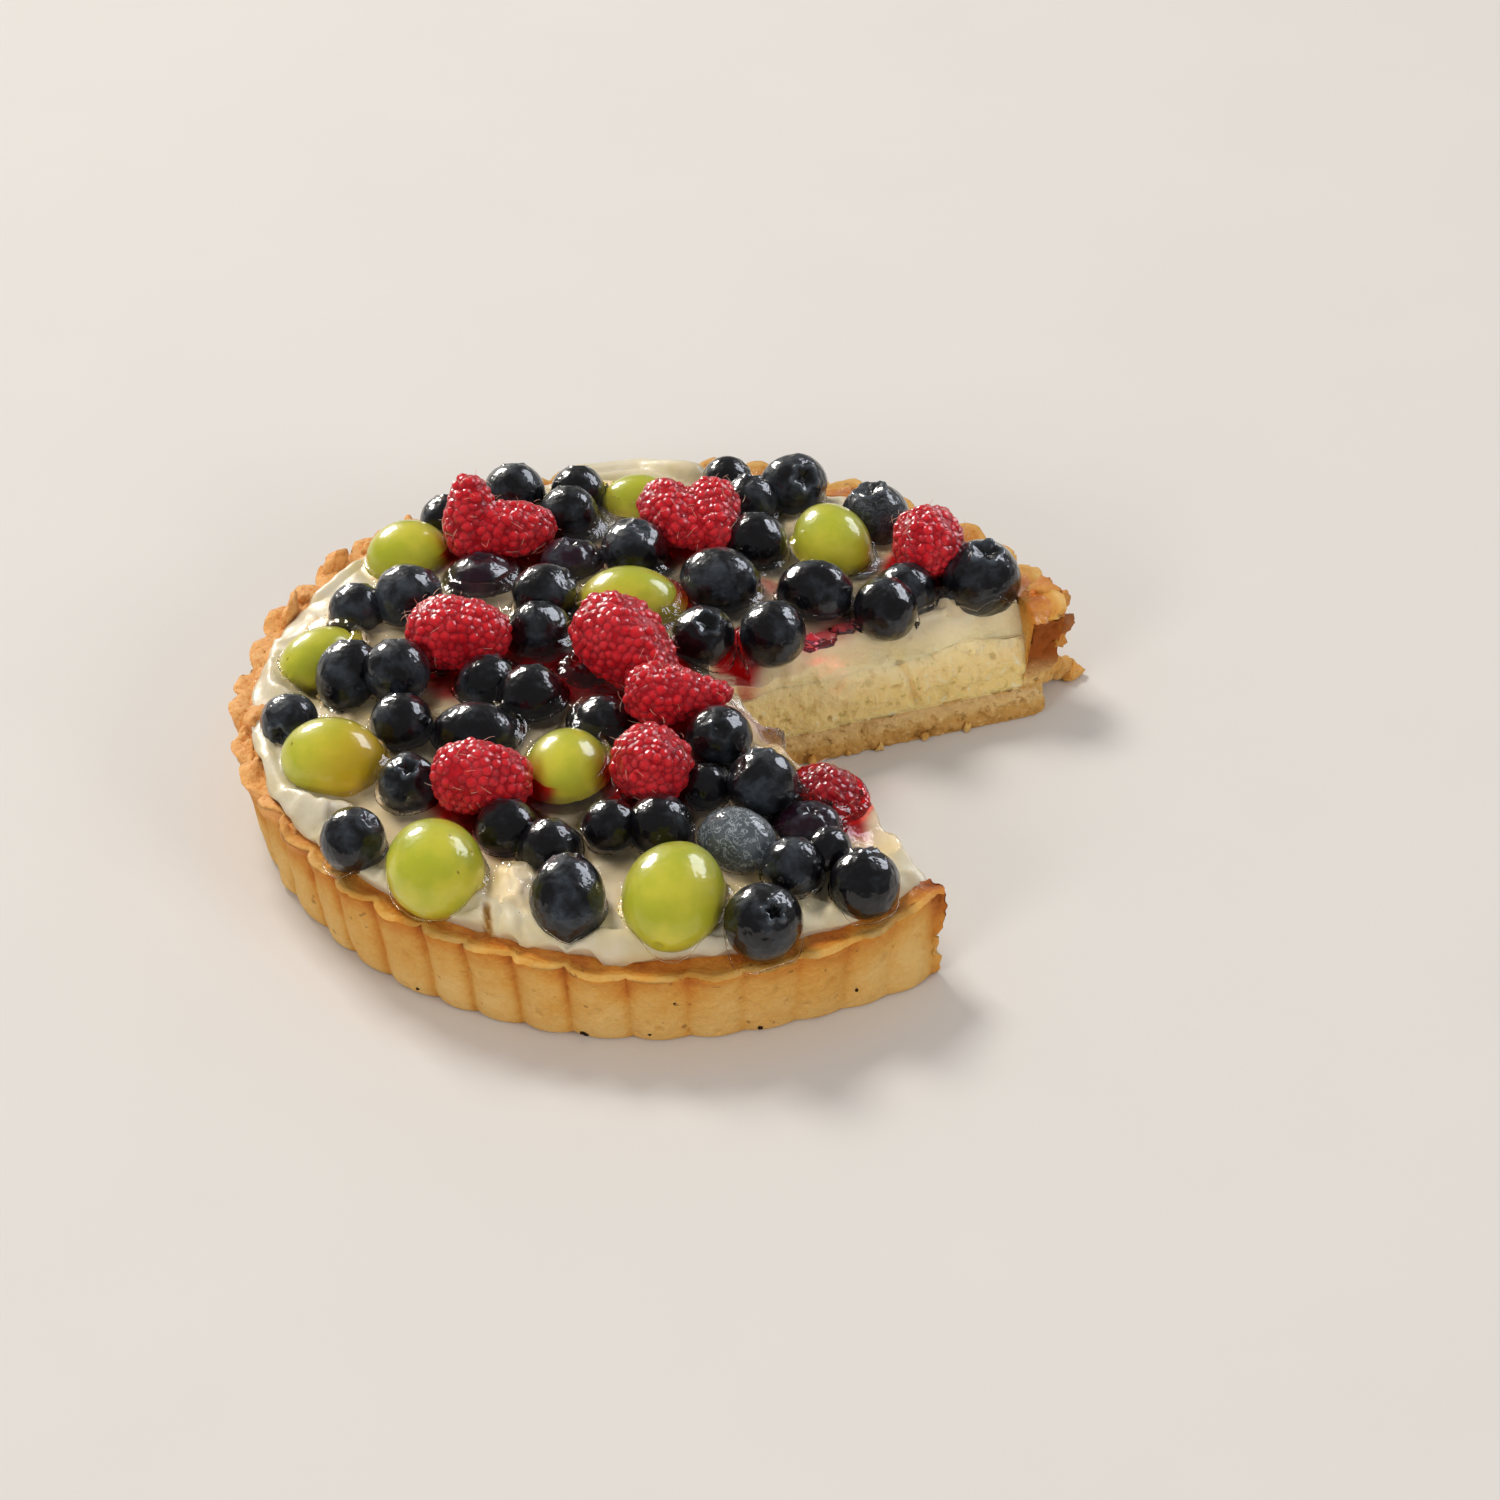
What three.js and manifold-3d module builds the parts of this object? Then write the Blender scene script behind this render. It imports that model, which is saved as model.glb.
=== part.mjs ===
// Berry tart with one wedge cut out: fluted crust, custard, cream and a full cover of fruit.
// Millimetres, +Z up. The origin is the centre of the crust's flat underside.
import * as THREE from 'three';
import { mergeVertices } from 'three/addons/utils/BufferGeometryUtils.js';
import Module from 'manifold-3d';

const wasm = await Module();
wasm.setup();

// Crust
const rimRadius = 97;
const footRadius = 93;
const rimHeight = 24;
const baseThickness = 9;
const fluteCount = 50;
const fluteDepth = 2.2;
const fluteSteps = 4;
const lipThickness = 1.8;
const cupDepth = 1.4;
const lipLift = { usual: 0.9, uneven: 0.7 };
const grooveRunOut = { foot: 0.7, lip: 0.6 };
const wallTopInside = 90.6;
const wallFootInside = 87.5;

// Fillings
const custardTop = 20.5;
const custardAtCut = 3;
const custardShoulder = 16;
const creamMound = 31.5;
const creamEdge = 26.5;
const layerGap = 0.3;
const layerSegments = 36;
const custardRings = [58, 28, 0];
const creamRings = [84, 74, 60, 42, 22, 0];
const edgeRounding = 1.8;
const creamEdgeRoom = 0.6;
const smallestDetail = 0.05;
const largestCrumb = 30;

// The wedge that was taken out, in degrees round its tip
const wedgeTip = new THREE.Vector2(12, -3);
const farCutAngle = 18.4;
const nearCutAngle = -54.4;
const cutReach = 130;
const cutStep = 10;

// How far each cut face stands back from the wedge, how rough it is, and the seed of its roughness
const cuts = {
  crust: { setBack: 0, tear: 0.7, seed: 11 },
  custard: { setBack: 0.4, tear: 1.1, seed: 23 },
  cream: { setBack: 0.8, tear: 0.9, seed: 37 },
};
const lipSeed = 7;

// A loose flake of crust at the foot by the far cut
const flake = { at: [92.5, 34, 3.6], half: [7.5, 4.5, 4], turn: 28 };

// Toppings. Each is read on a level plane at readHeight, along a line of sight that runs
// back by sightRun for each millimetre of height, so a topping that sits higher is nearer the front.
const readHeight = 32;
const sightRunFront = 1.12;
const sightRunBack = 1.48;
const restingRise = 0.5;
const pressed = { blueberry: 0.2, grape: 0.7, raspberry: 2 };
const joinOverlap = 2.6;
const settleRounds = 240;
const deepestRise = -0.35;

const degrees = Math.PI / 180;

// Height of the rim and radius of rim and foot round the tart: [degrees, rim height, rim, foot]
const rimWaves = [
  [-180, 24.2, 97.2, 94.0],
  [-140, 23.6, 96.0, 93.0],
  [-112, 22.4, 96.6, 92.6],
  [-90, 20.8, 98.0, 92.8],
  [-70, 21.6, 97.6, 92.6],
  [-50, 24.2, 96.0, 95.0],
  [10, 27.0, 99.0, 93.5],
  [40, 26.4, 98.2, 93.0],
  [90, 25.0, 97.0, 93.0],
  [140, 23.4, 96.4, 93.0],
  [180, 24.2, 97.2, 94.0],
];

// Folds and peaks left in the cream: [x, y, half length, half width, height, degrees]
const creamFolds = [
  [-83, -30, 11, 4.5, 3.2, 112],
  [-87, -8, 7, 4, 2.4, 98],
  [-74, -47, 7, 5, 2.0, 140],
  [-47, -62, 8, 5, 1.8, 60],
  [-37, -80, 5, 4, 2.6, 80],
  [-29, -86, 7, 3, 2.2, 150],
  [4, -90, 12, 3.5, 1.8, 178],
  [34, -86, 8, 4, 1.2, 20],
  [-12, 84, 20, 4, 3.4, 6],
  [-66, 56, 9, 4, 2.2, 48],
  [79, 26, 6, 6, 4.0, 20],
  [64, 23, 5, 5, 1.6, 20],
  [41, 17, 5, 6, 1.4, 20],
  [20, 2, 9, 6, -3.0, 20],
  [27, -24, 16, 8, -3.5, -54],
];

// Fruit: [x, seen y, width] and, where it needs them, rise above the cream as a share of its
// radius, stretch or squash along its axis, and the axis as degrees round and degrees up.
// A blueberry's axis points to its crown.
const blueberries = {
  b01: { at: [-36.6, 71, 15.2], rise: 0.6 },
  b02: { at: [-20.8, 71.5, 13.2], rise: 0.6 },
  b03: { at: [-22.8, 61.5, 14.4], joins: 'b02' },
  b04: { at: [-52.6, 59.7, 12.8] },
  b05: { at: [-6.5, 45.4, 16], axis: [-20, 80] },
  b06: { at: [-21.5, 41, 14.6], rise: 0.3, squash: 0.82 },
  b07: { at: [-42.4, 34, 16.5], rise: 0.1, squash: 0.8 },
  b08: { at: [-27, 27.4, 15.6], axis: [7, 40] },
  b09: { at: [-58.7, 28, 16], rise: 0.6, axis: [11, 36] },
  b10: { at: [-72, 22.3, 13], joins: 'b09' },
  b11: { at: [-28, 13, 15], joins: 'b08' },
  b12: { at: [-70, -1.8, 15.4], rise: 0.5 },
  b13: { at: [-60, -1.7, 15], rise: 0.7, joins: 'b12' },
  b14: { at: [-39.6, -6.7, 14], rise: 0 },
  b15: { at: [-28, -12.6, 15], joins: 'b14' },
  b16: { at: [-12.5, -23, 13.5], rise: 0.1 },
  b17: { at: [-83, -20, 13], rise: 0.5, axis: [-104, 9] },
  b18: { at: [-57.3, -21.6, 14] },
  b19: { at: [-40.5, -26, 15.4], rise: 0.2, stretch: 1.24, axis: [-14, 0] },
  b20: { at: [-54.2, -43, 14], axis: [-83, 68] },
  b21: { at: [-32.3, -59.4, 13.8], rise: 0.3 },
  b22: { at: [-22.5, -66.4, 13], joins: 'b21' },
  b23: { at: [-65.2, -62.7, 14.2], rise: 0.55, axis: [0, 57] },
  b24: { at: [-10.7, -59, 12] },
  b25: { at: [1.5, -58.8, 14], axis: [-3, 23], joins: 'b24' },
  b26: { at: [-18.2, -83.2, 16], rise: 0.5, stretch: 1.2, axis: [95, 40] },
  b27: { at: [-16.5, -7.5, 12], rise: -0.2 },
  b28: { at: [15.4, 75.6, 12.5], axis: [17, 43] },
  b29: { at: [31.8, 73.2, 16.4], rise: 0.6, axis: [-62, 46] },
  b30: { at: [51, 58.8, 16.6], axis: [142, 79] },
  b31: { at: [21.3, 66, 14], joins: 'b29' },
  b32: { at: [22.4, 48.2, 15] },
  b33: { at: [13.6, 32.4, 16.2], stretch: 1.16, axis: [-12, 0] },
  b34: { at: [35.9, 28, 15.2], stretch: 1.16, axis: [-6, 0] },
  b35: { at: [57.6, 28.2, 13.8], rise: 0.1 },
  b36: { at: [52.1, 20.5, 15], rise: 0.5, joins: 'b35' },
  b37: { at: [75.3, 33.2, 18.4], rise: 0.35, axis: [-59, 81] },
  b38: { at: [10, 10.6, 14.2], rise: 0.6, axis: [-71, 62] },
  b39: { at: [25.9, 11.2, 15.3], rise: 0.5 },
  b40: { at: [13.4, -28, 15], rise: 0.5, axis: [-82, 53] },
  b41: { at: [10.5, -46, 11], rise: 0.4 },
  b42: { at: [23.2, -45, 15.6], rise: 0.6 },
  b43: { at: [17.7, -64.2, 14], stretch: 1.25, axis: [-35, 0] },
  b44: { at: [34, -60.4, 14.4], rise: 0.5, squash: 0.7 },
  b45: { at: [29.1, -73.4, 13.2], rise: 0.5 },
  b46: { at: [44.2, -78.9, 15], rise: 0.45 },
  b51: { at: [22.8, -91, 16.4], rise: 0.35, axis: [-63, 53] },
  b53: { at: [36.6, -67, 10], rise: 0.1, joins: 'b45' },
};

const grapes = {
  g01: { at: [-6.2, 66.5, 14.6], rise: 0.1, stretch: 1.3, axis: [0, 0] },
  g02: { at: [-60.7, 44.6, 18], rise: 0.2, stretch: 1.15, axis: [10, 0] },
  g03: { at: [40.9, 48.8, 18], rise: 0.3, stretch: 1.18, axis: [120, 10] },
  g04: { at: [-7.3, 22.5, 20], rise: 0, stretch: 1.26, axis: [-10, 0] },
  g05: { at: [-78.4, 2.8, 16], rise: 0, stretch: 1.3, axis: [40, 0] },
  g06: { at: [-71.8, -34.4, 19.4], rise: 0.4, stretch: 1.2, axis: [-8, 0] },
  g07: { at: [-19.8, -39.4, 18.6], rise: 0.1, stretch: 1.12, axis: [80, 0] },
  g08: { at: [-46.7, -72.6, 20.8], rise: 0.35, stretch: 1.12, axis: [110, 10] },
  g09: { at: [4, -82.8, 21.8], rise: 0.35, stretch: 1.15, axis: [75, 15] },
};

// A raspberry has one or two lobes: [x, seen y, width], length, axis, and taper from 0, round, to 1
const raspberries = {
  r01: {
    at: [-38.8, 54.8, 15.5], rise: 1, length: 26, axis: [5, 3], taper: 0.25,
    lobe: { offset: [-6.5, 1.5, 4], width: 15, length: 19, axis: [100, 62], taper: 0.5 },
  },
  r02: {
    at: [2.2, 60.8, 14], rise: 1.2, length: 20, axis: [-68, -10], taper: 0.45,
    lobe: { offset: [10.6, -1, 0.5], width: 14.4, length: 20, axis: [-80, -10], taper: 0.5 },
  },
  r03: { at: [62.8, 47.6, 18.2], rise: 1, length: 17.5, axis: [100, 35], taper: 0.2 },
  r04: { at: [-46, 13.6, 18.2], rise: 0.9, length: 23.6, axis: [-4, 0], taper: 0.25 },
  r05: { at: [-8, 6.4, 20.5], rise: 0.65, length: 28, axis: [-44, -16], taper: 0.35 },
  r06: { at: [5, -13, 16], rise: 1, length: 24.6, axis: [-6, 3], taper: 0.9 },
  r07: { at: [-0.8, -37.6, 18], rise: 0.9, length: 17, axis: [-70, 20], taper: 0.15 },
  r08: { at: [-37.6, -41.6, 17.5], rise: 0.9, length: 22.6, axis: [-6, 0], taper: 0.3 },
  r09: { at: [37.6, -54, 16.5], rise: 0.2, length: 21, axis: [-62, -32], taper: 0.25 },
};

const berrySegments = 8;
const drupelets = { segments: 10, rows: 8, relief: 0.55 };
const plainLobe = { segments: 8, rows: 5, relief: 0 };
const plainLobeRoom = 0.1;

// A repeatable draw between -1 and 1 for a whole number
function draw(seed) {
  const wave = Math.sin(seed * 127.1 + 311.7) * 43758.5453;
  return 2 * (wave - Math.floor(wave)) - 1;
}

// Smooth unevenness between about -1 and 1, with swells of the given size in millimetres
function unevenness(x, y, size, phase) {
  const a = Math.sin((x * 0.94 + y * 0.34) * 6.28 / size + phase);
  const b = Math.sin((y * 0.91 - x * 0.42) * 5.1 / size + 2.3 * phase);
  const c = Math.sin((x - y) * 3.7 / size + 4.1 * phase);
  return (a + b + c) / 3;
}

function smoothStep(share) {
  const t = THREE.MathUtils.clamp(share, 0, 1);
  return t * t * (3 - 2 * t);
}

// One column of rimWaves at an angle in radians
function roundTheRim(angle, column) {
  const turn = angle / degrees;
  const next = Math.max(1, rimWaves.findIndex((row) => row[0] >= turn));
  const [from, to] = [rimWaves[next - 1], rimWaves[next]];
  const share = smoothStep((turn - from[0]) / (to[0] - from[0]));
  return THREE.MathUtils.lerp(from[column], to[column], share);
}

// A flute bulges outwards between two narrow grooves
function groove(angle) {
  return fluteDepth * (Math.abs(Math.sin(angle * fluteCount / 2)) ** 0.7 - 1);
}

function creamHeight(x, y) {
  const radius = Math.hypot(x, y);
  const mound = smoothStep(1.25 - radius / wallTopInside * 1.25);
  let height = creamEdge + (creamMound - creamEdge) * mound + 0.5 * unevenness(x, y, 34, 1);
  for (const [foldX, foldY, halfLength, halfWidth, rise, turn] of creamFolds) {
    const along = (x - foldX) * Math.cos(turn * degrees) + (y - foldY) * Math.sin(turn * degrees);
    const across = (y - foldY) * Math.cos(turn * degrees) - (x - foldX) * Math.sin(turn * degrees);
    height += rise * Math.exp(-((along / halfLength) ** 2) - (across / halfWidth) ** 2);
  }
  return height;
}

// How far a point lies behind the nearer of the two cut faces
function behindCut(x, y) {
  const behind = (angle, side) => side * ((y - wedgeTip.y) * Math.cos(angle * degrees)
    - (x - wedgeTip.x) * Math.sin(angle * degrees));
  return Math.max(behind(farCutAngle, 1), behind(nearCutAngle, -1));
}

// The custard stands highest at the cut, where it shows
function custardHeight(x, y) {
  const atCut = 1 - smoothStep(behindCut(x, y) / custardShoulder);
  return custardTop + custardAtCut * atCut + 0.5 * unevenness(x, y, 27, 3);
}

// The same surface with its shared vertices merged and no flat triangles left at its poles
function merged(geometry) {
  const bare = geometry.clone();
  bare.deleteAttribute('normal');
  bare.deleteAttribute('uv');
  const joined = mergeVertices(bare, 1e-4);
  const corners = joined.index.array;
  const triangles = [];
  for (let i = 0; i < corners.length; i += 3) {
    const [a, b, c] = corners.slice(i, i + 3);
    if (a !== b && b !== c && c !== a) {
      triangles.push(a, b, c);
    }
  }
  joined.setIndex(triangles);
  return joined;
}

// A closed surface, placed by a matrix, as a solid that can be cut and joined
function solidOf(geometry, matrix = new THREE.Matrix4()) {
  const placed = merged(geometry).applyMatrix4(matrix);
  return new wasm.Manifold(new wasm.Mesh({
    numProp: 3,
    vertProperties: new Float32Array(placed.attributes.position.array),
    triVerts: new Uint32Array(placed.index.array),
  }));
}

// The body of a solid, without the crumbs that a cut may have left
function bodyOf(name, solid) {
  const [body, ...crumbs] = solid.decompose().sort((a, b) => b.volume() - a.volume());
  if (crumbs.some((crumb) => crumb.volume() > largestCrumb)) {
    throw new Error(`${name} has come apart`);
  }
  return body;
}

function meshOf(name, solid, material) {
  const { numProp, vertProperties, triVerts } = bodyOf(name, solid).getMesh();
  const geometry = new THREE.BufferGeometry();
  const places = new Float32Array(vertProperties.length / numProp * 3);
  for (let i = 0; i < places.length / 3; i += 1) {
    places.set(vertProperties.subarray(i * numProp, i * numProp + 3), i * 3);
  }
  geometry.setAttribute('position', new THREE.BufferAttribute(places, 3));
  geometry.setIndex(new THREE.BufferAttribute(new Uint32Array(triVerts), 1));
  geometry.computeVertexNormals();
  const mesh = new THREE.Mesh(geometry, material);
  mesh.name = name;
  return mesh;
}

// A turned form stood up along Z, each of its points then moved by shape(point, angle, radius)
function turnedForm(profile, segments, shape) {
  const outline = profile.map(([radius, height]) => new THREE.Vector2(radius, height));
  const geometry = merged(new THREE.LatheGeometry(outline, segments).rotateX(Math.PI / 2));
  const places = geometry.attributes.position;
  const point = new THREE.Vector3();
  for (let i = 0; i < places.count; i += 1) {
    point.fromBufferAttribute(places, i);
    shape(point, Math.atan2(point.y, point.x), Math.hypot(point.x, point.y));
    places.setXYZ(i, point.x, point.y, point.z);
  }
  return geometry;
}

// A prism over the wedge, its two cut faces moved in and out by tear and set back from the cut
function wedge({ setBack, tear, seed }) {
  const corners = [];
  const towards = (angle, reach, aside) => new THREE.Vector2(
    wedgeTip.x + reach * Math.cos(angle * degrees) - aside * Math.sin(angle * degrees),
    wedgeTip.y + reach * Math.sin(angle * degrees) + aside * Math.cos(angle * degrees),
  );
  const steps = Math.round(cutReach / cutStep);
  for (let i = steps; i > 0; i -= 1) {
    corners.push(towards(nearCutAngle, i * cutStep, -setBack - tear * draw(seed + i)));
  }
  corners.push(towards((nearCutAngle + farCutAngle) / 2, -setBack * 1.5, 0));
  for (let i = 1; i <= steps; i += 1) {
    corners.push(towards(farCutAngle, i * cutStep, setBack + tear * draw(seed + 50 + i)));
  }
  const prism = new THREE.ExtrudeGeometry(new THREE.Shape(corners), { depth: 80, bevelEnabled: false });
  prism.translate(0, 0, -20);
  return solidOf(prism);
}

// Crust: base, wall, and a rim whose flutes end in a raised lip round a shallow cup
function crustSolid() {
  const rings = {
    footOut: [footRadius, 0],
    rimOut: [rimRadius, rimHeight],
    lipIn: [rimRadius - lipThickness, rimHeight],
    cupIn: [wallTopInside, rimHeight - cupDepth],
  };
  const profile = [
    [0, 0], rings.footOut, rings.rimOut, rings.lipIn, rings.cupIn,
    [wallFootInside, baseThickness], [0, baseThickness],
  ];
  const shape = (point, angle, radius) => {
    let [newRadius, newHeight] = [radius, point.z];
    const flute = Math.round(angle * fluteCount / (2 * Math.PI));
    const lift = lipLift.usual + lipLift.uneven * draw(flute + lipSeed);
    const bulge = groove(angle);
    if (radius > rimRadius - 0.5) {
      newRadius = roundTheRim(angle, 2) + bulge;
      newHeight = roundTheRim(angle, 1) + lift * (1 + bulge / fluteDepth);
    } else if (radius > rimRadius - lipThickness - 0.5) {
      newRadius = roundTheRim(angle, 2) - lipThickness + bulge * grooveRunOut.lip;
      newHeight = roundTheRim(angle, 1) - cupDepth * (1 + bulge / fluteDepth);
    } else if (radius > footRadius - 0.5) {
      newRadius = roundTheRim(angle, 3) + bulge * grooveRunOut.foot;
    } else if (point.z > baseThickness + 1) {
      newHeight = roundTheRim(angle, 1) - cupDepth;
    }
    point.set(newRadius * Math.cos(angle), newRadius * Math.sin(angle), newHeight);
  };
  const form = solidOf(turnedForm(profile, fluteCount * fluteSteps, shape));
  const place = new THREE.Matrix4().makeRotationZ(flake.turn * degrees).setPosition(...flake.at);
  place.scale(new THREE.Vector3(...flake.half));
  const flakeSolid = solidOf(new THREE.IcosahedronGeometry(1, 0), place);
  return form.subtract(wedge(cuts.crust)).add(flakeSolid).subtract(floorBlock());
}

// Everything below the surface the tart stands on
function floorBlock() {
  return solidOf(new THREE.BoxGeometry(260, 260, 20), new THREE.Matrix4().makeTranslation(0, 0, -10));
}

// Radius of the fillings, a gap clear of the wall even where the rim is highest and the wall steepest
function innerRadius(height) {
  const highestRim = Math.max(...rimWaves.map((row) => row[1]));
  const share = (height - baseThickness) / (highestRim - cupDepth - baseThickness);
  return THREE.MathUtils.lerp(wallFootInside, wallTopInside, Math.min(share, 1)) - layerGap;
}

// The custard before the cut, wider by room and higher by lift
function custardForm(room, lift) {
  const bottom = baseThickness + layerGap;
  const profile = [
    [0, bottom], [innerRadius(bottom) + room, bottom], [innerRadius(custardTop) + room, custardTop],
    ...custardRings.map((radius) => [radius, custardTop]),
  ];
  const form = turnedForm(profile, layerSegments, (point) => {
    if (point.z > bottom + 1) {
      point.z = custardHeight(point.x, point.y) + lift;
    }
  });
  return solidOf(form);
}

function creamSolid() {
  const floor = custardTop - 3;
  const edge = innerRadius(rimHeight) - creamEdgeRoom;
  const rings = [edge, ...creamRings].map((radius) => [radius, creamMound]);
  const profile = [[0, floor], [innerRadius(floor), floor], ...rings];
  const form = turnedForm(profile, layerSegments, (point, angle, radius) => {
    if (point.z > floor + 1) {
      point.z = creamHeight(point.x, point.y) - (radius > edge - 0.5 ? edgeRounding : 0);
    }
  });
  return solidOf(form).subtract(custardForm(2, layerGap)).subtract(wedge(cuts.cream));
}

function sightRun(y) {
  return THREE.MathUtils.mapLinear(y, -90, 90, sightRunFront, sightRunBack);
}

// Unit vector from degrees round and degrees up
function directionOf([round, up]) {
  return new THREE.Vector3(
    Math.cos(round * degrees) * Math.cos(up * degrees),
    Math.sin(round * degrees) * Math.cos(up * degrees),
    Math.sin(up * degrees),
  );
}

// One topping's centre and its half lengths along and across its axis
function readTopping(name, kind, row) {
  const [x, seenY, width] = row.at;
  const across = width / 2;
  const along = row.length ? row.length / 2 : across * (row.stretch ?? 1) * (row.squash ?? 1);
  const topping = {
    name, kind, row, across, along, joins: row.joins, seen: new THREE.Vector2(x, seenY),
    axis: directionOf(row.axis ?? [90, row.squash ? 90 : 55]),
    centre: new THREE.Vector3(x, seenY, readHeight),
  };
  for (let i = 0; i < 8; i += 1) {
    const { centre } = topping;
    const rise = (row.rise ?? restingRise) * Math.min(along, across);
    centre.z = creamHeight(centre.x, centre.y) + rise;
    centre.y = seenY - (centre.z - readHeight) * sightRun(seenY);
  }
  topping.restHeight = topping.centre.z;
  return topping;
}

// Half width of a topping in a direction
function reachOf(topping, direction) {
  const share = direction.dot(topping.axis) ** 2;
  return 1 / Math.sqrt(share / topping.along ** 2 + (1 - share) / topping.across ** 2);
}

// Moves toppings that overlap, mostly along the line of sight, so that each keeps its seen place
function settle(toppings) {
  const sight = new THREE.Vector3();
  for (let round = 0; round < settleRounds; round += 1) {
    for (let i = 0; i < toppings.length; i += 1) {
      for (let j = i + 1; j < toppings.length; j += 1) {
        const [a, b] = [toppings[i], toppings[j]];
        const between = b.centre.clone().sub(a.centre);
        const distance = between.length();
        between.normalize();
        const joined = a.joins === b.name || b.joins === a.name;
        const give = joined ? joinOverlap : pressed[a.kind] + pressed[b.kind];
        const overlap = reachOf(a, between) + reachOf(b, between) - give - distance;
        if (overlap > 0 || joined) {
          sight.set(0, -sightRun(a.centre.y), 1).normalize();
          const alongSight = between.dot(sight);
          const push = between.clone().multiplyScalar(0.2).addScaledVector(sight, 0.8 * alongSight);
          push.multiplyScalar(0.25 * overlap / Math.max(push.dot(between), 0.1));
          a.centre.sub(push);
          b.centre.add(push);
        }
      }
    }
    for (const topping of toppings) {
      const lowest = creamHeight(topping.centre.x, topping.centre.y)
        + Math.min(deepestRise, topping.row.rise ?? 0) * topping.across;
      const drop = 0.03 * (topping.restHeight - topping.centre.z) + Math.max(0, lowest - topping.centre.z);
      topping.centre.z += drop;
      topping.centre.y -= drop * sightRun(topping.centre.y);
      const seenY = topping.centre.y + (topping.centre.z - readHeight) * sightRun(topping.seen.y);
      topping.centre.x += 0.04 * (topping.seen.x - topping.centre.x);
      topping.centre.y += 0.04 * (topping.seen.y - seenY);
    }
  }
}

// Blueberry: round, with the ring of its crown round a small dimple
function blueberryForm(across, along) {
  const profile = [[0, -1], [0.74, -0.67], [1, 0.02], [0.76, 0.65], [0.36, 0.95], [0, 0.76]];
  return turnedForm(profile, berrySegments, (point) => {
    point.set(point.x * across, point.y * across, point.z * along);
  });
}

function grapeForm(across, along) {
  const form = new THREE.SphereGeometry(1, 10, 6);
  form.rotateX(Math.PI / 2);
  return form.scale(across, across, along);
}

// Raspberry lobe: rows of drupelets, each row set between those of the next, tapering to its tip
function raspberryForm(across, along, taper, { segments, rows, relief }) {
  const profile = [];
  for (let i = 0; i <= rows; i += 1) {
    const turn = Math.PI * i / rows;
    const narrowing = 1 - taper * 0.62 * smoothStep((0.5 - 0.5 * Math.cos(turn)) * 1.15 - 0.15);
    profile.push([i === 0 || i === rows ? 0 : Math.sin(turn) ** 0.75 * narrowing, -Math.cos(turn)]);
  }
  const column = 2 * Math.PI / segments;
  return turnedForm(profile, segments, (point, angle, radius) => {
    const row = Math.round(Math.acos(THREE.MathUtils.clamp(-point.z, -1, 1)) / Math.PI * rows);
    const raised = (Math.round(angle / column) + row + 2 * segments) % 2 === 0;
    const swell = radius > 0.01 && !raised ? 1 - 2 * relief / across : 1;
    point.set(point.x * across * swell, point.y * across * swell, point.z * along);
  });
}

const fruitForms = {
  blueberry: (topping, grow) => blueberryForm(topping.across + grow, topping.along + grow),
  grape: (topping, grow) => grapeForm(topping.across + grow, topping.along + grow),
  raspberry: (topping, grow) => raspberryLobe(topping.across, topping.along, topping.row.taper, grow),
};

// With its drupelets, or as the plain form, larger by grow, that makes room for it
function raspberryLobe(across, along, taper, grow) {
  if (grow === 0) {
    return raspberryForm(across, along, taper, drupelets);
  }
  const room = grow + across * plainLobeRoom;
  return raspberryForm(across + room, along + room, taper, plainLobe);
}

function placeOf(centre, axis) {
  const turn = new THREE.Quaternion().setFromUnitVectors(new THREE.Vector3(0, 0, 1), axis);
  return new THREE.Matrix4().compose(centre, turn, new THREE.Vector3(1, 1, 1));
}

// A topping's solid, larger all round by grow
function toppingSolid(topping, grow = 0) {
  const main = solidOf(fruitForms[topping.kind](topping, grow), placeOf(topping.centre, topping.axis));
  const { lobe } = topping.row;
  if (!lobe) {
    return main;
  }
  const form = raspberryLobe(lobe.width / 2, lobe.length / 2, lobe.taper, grow);
  const centre = topping.centre.clone().add(new THREE.Vector3(...lobe.offset));
  return main.add(solidOf(form, placeOf(centre, directionOf(lobe.axis))));
}

const finish = (color, roughness) => () => new THREE.MeshStandardMaterial({ color, roughness, metalness: 0 });
const finishes = {
  crust: finish(0xc98a45, 0.75),
  custard: finish(0xe6d298, 0.8),
  cream: finish(0xf1e8d3, 0.45),
  blueberry: finish(0x23293a, 0.25),
  grape: finish(0xa9b63c, 0.15),
  raspberry: finish(0xc0202e, 0.3),
};

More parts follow.
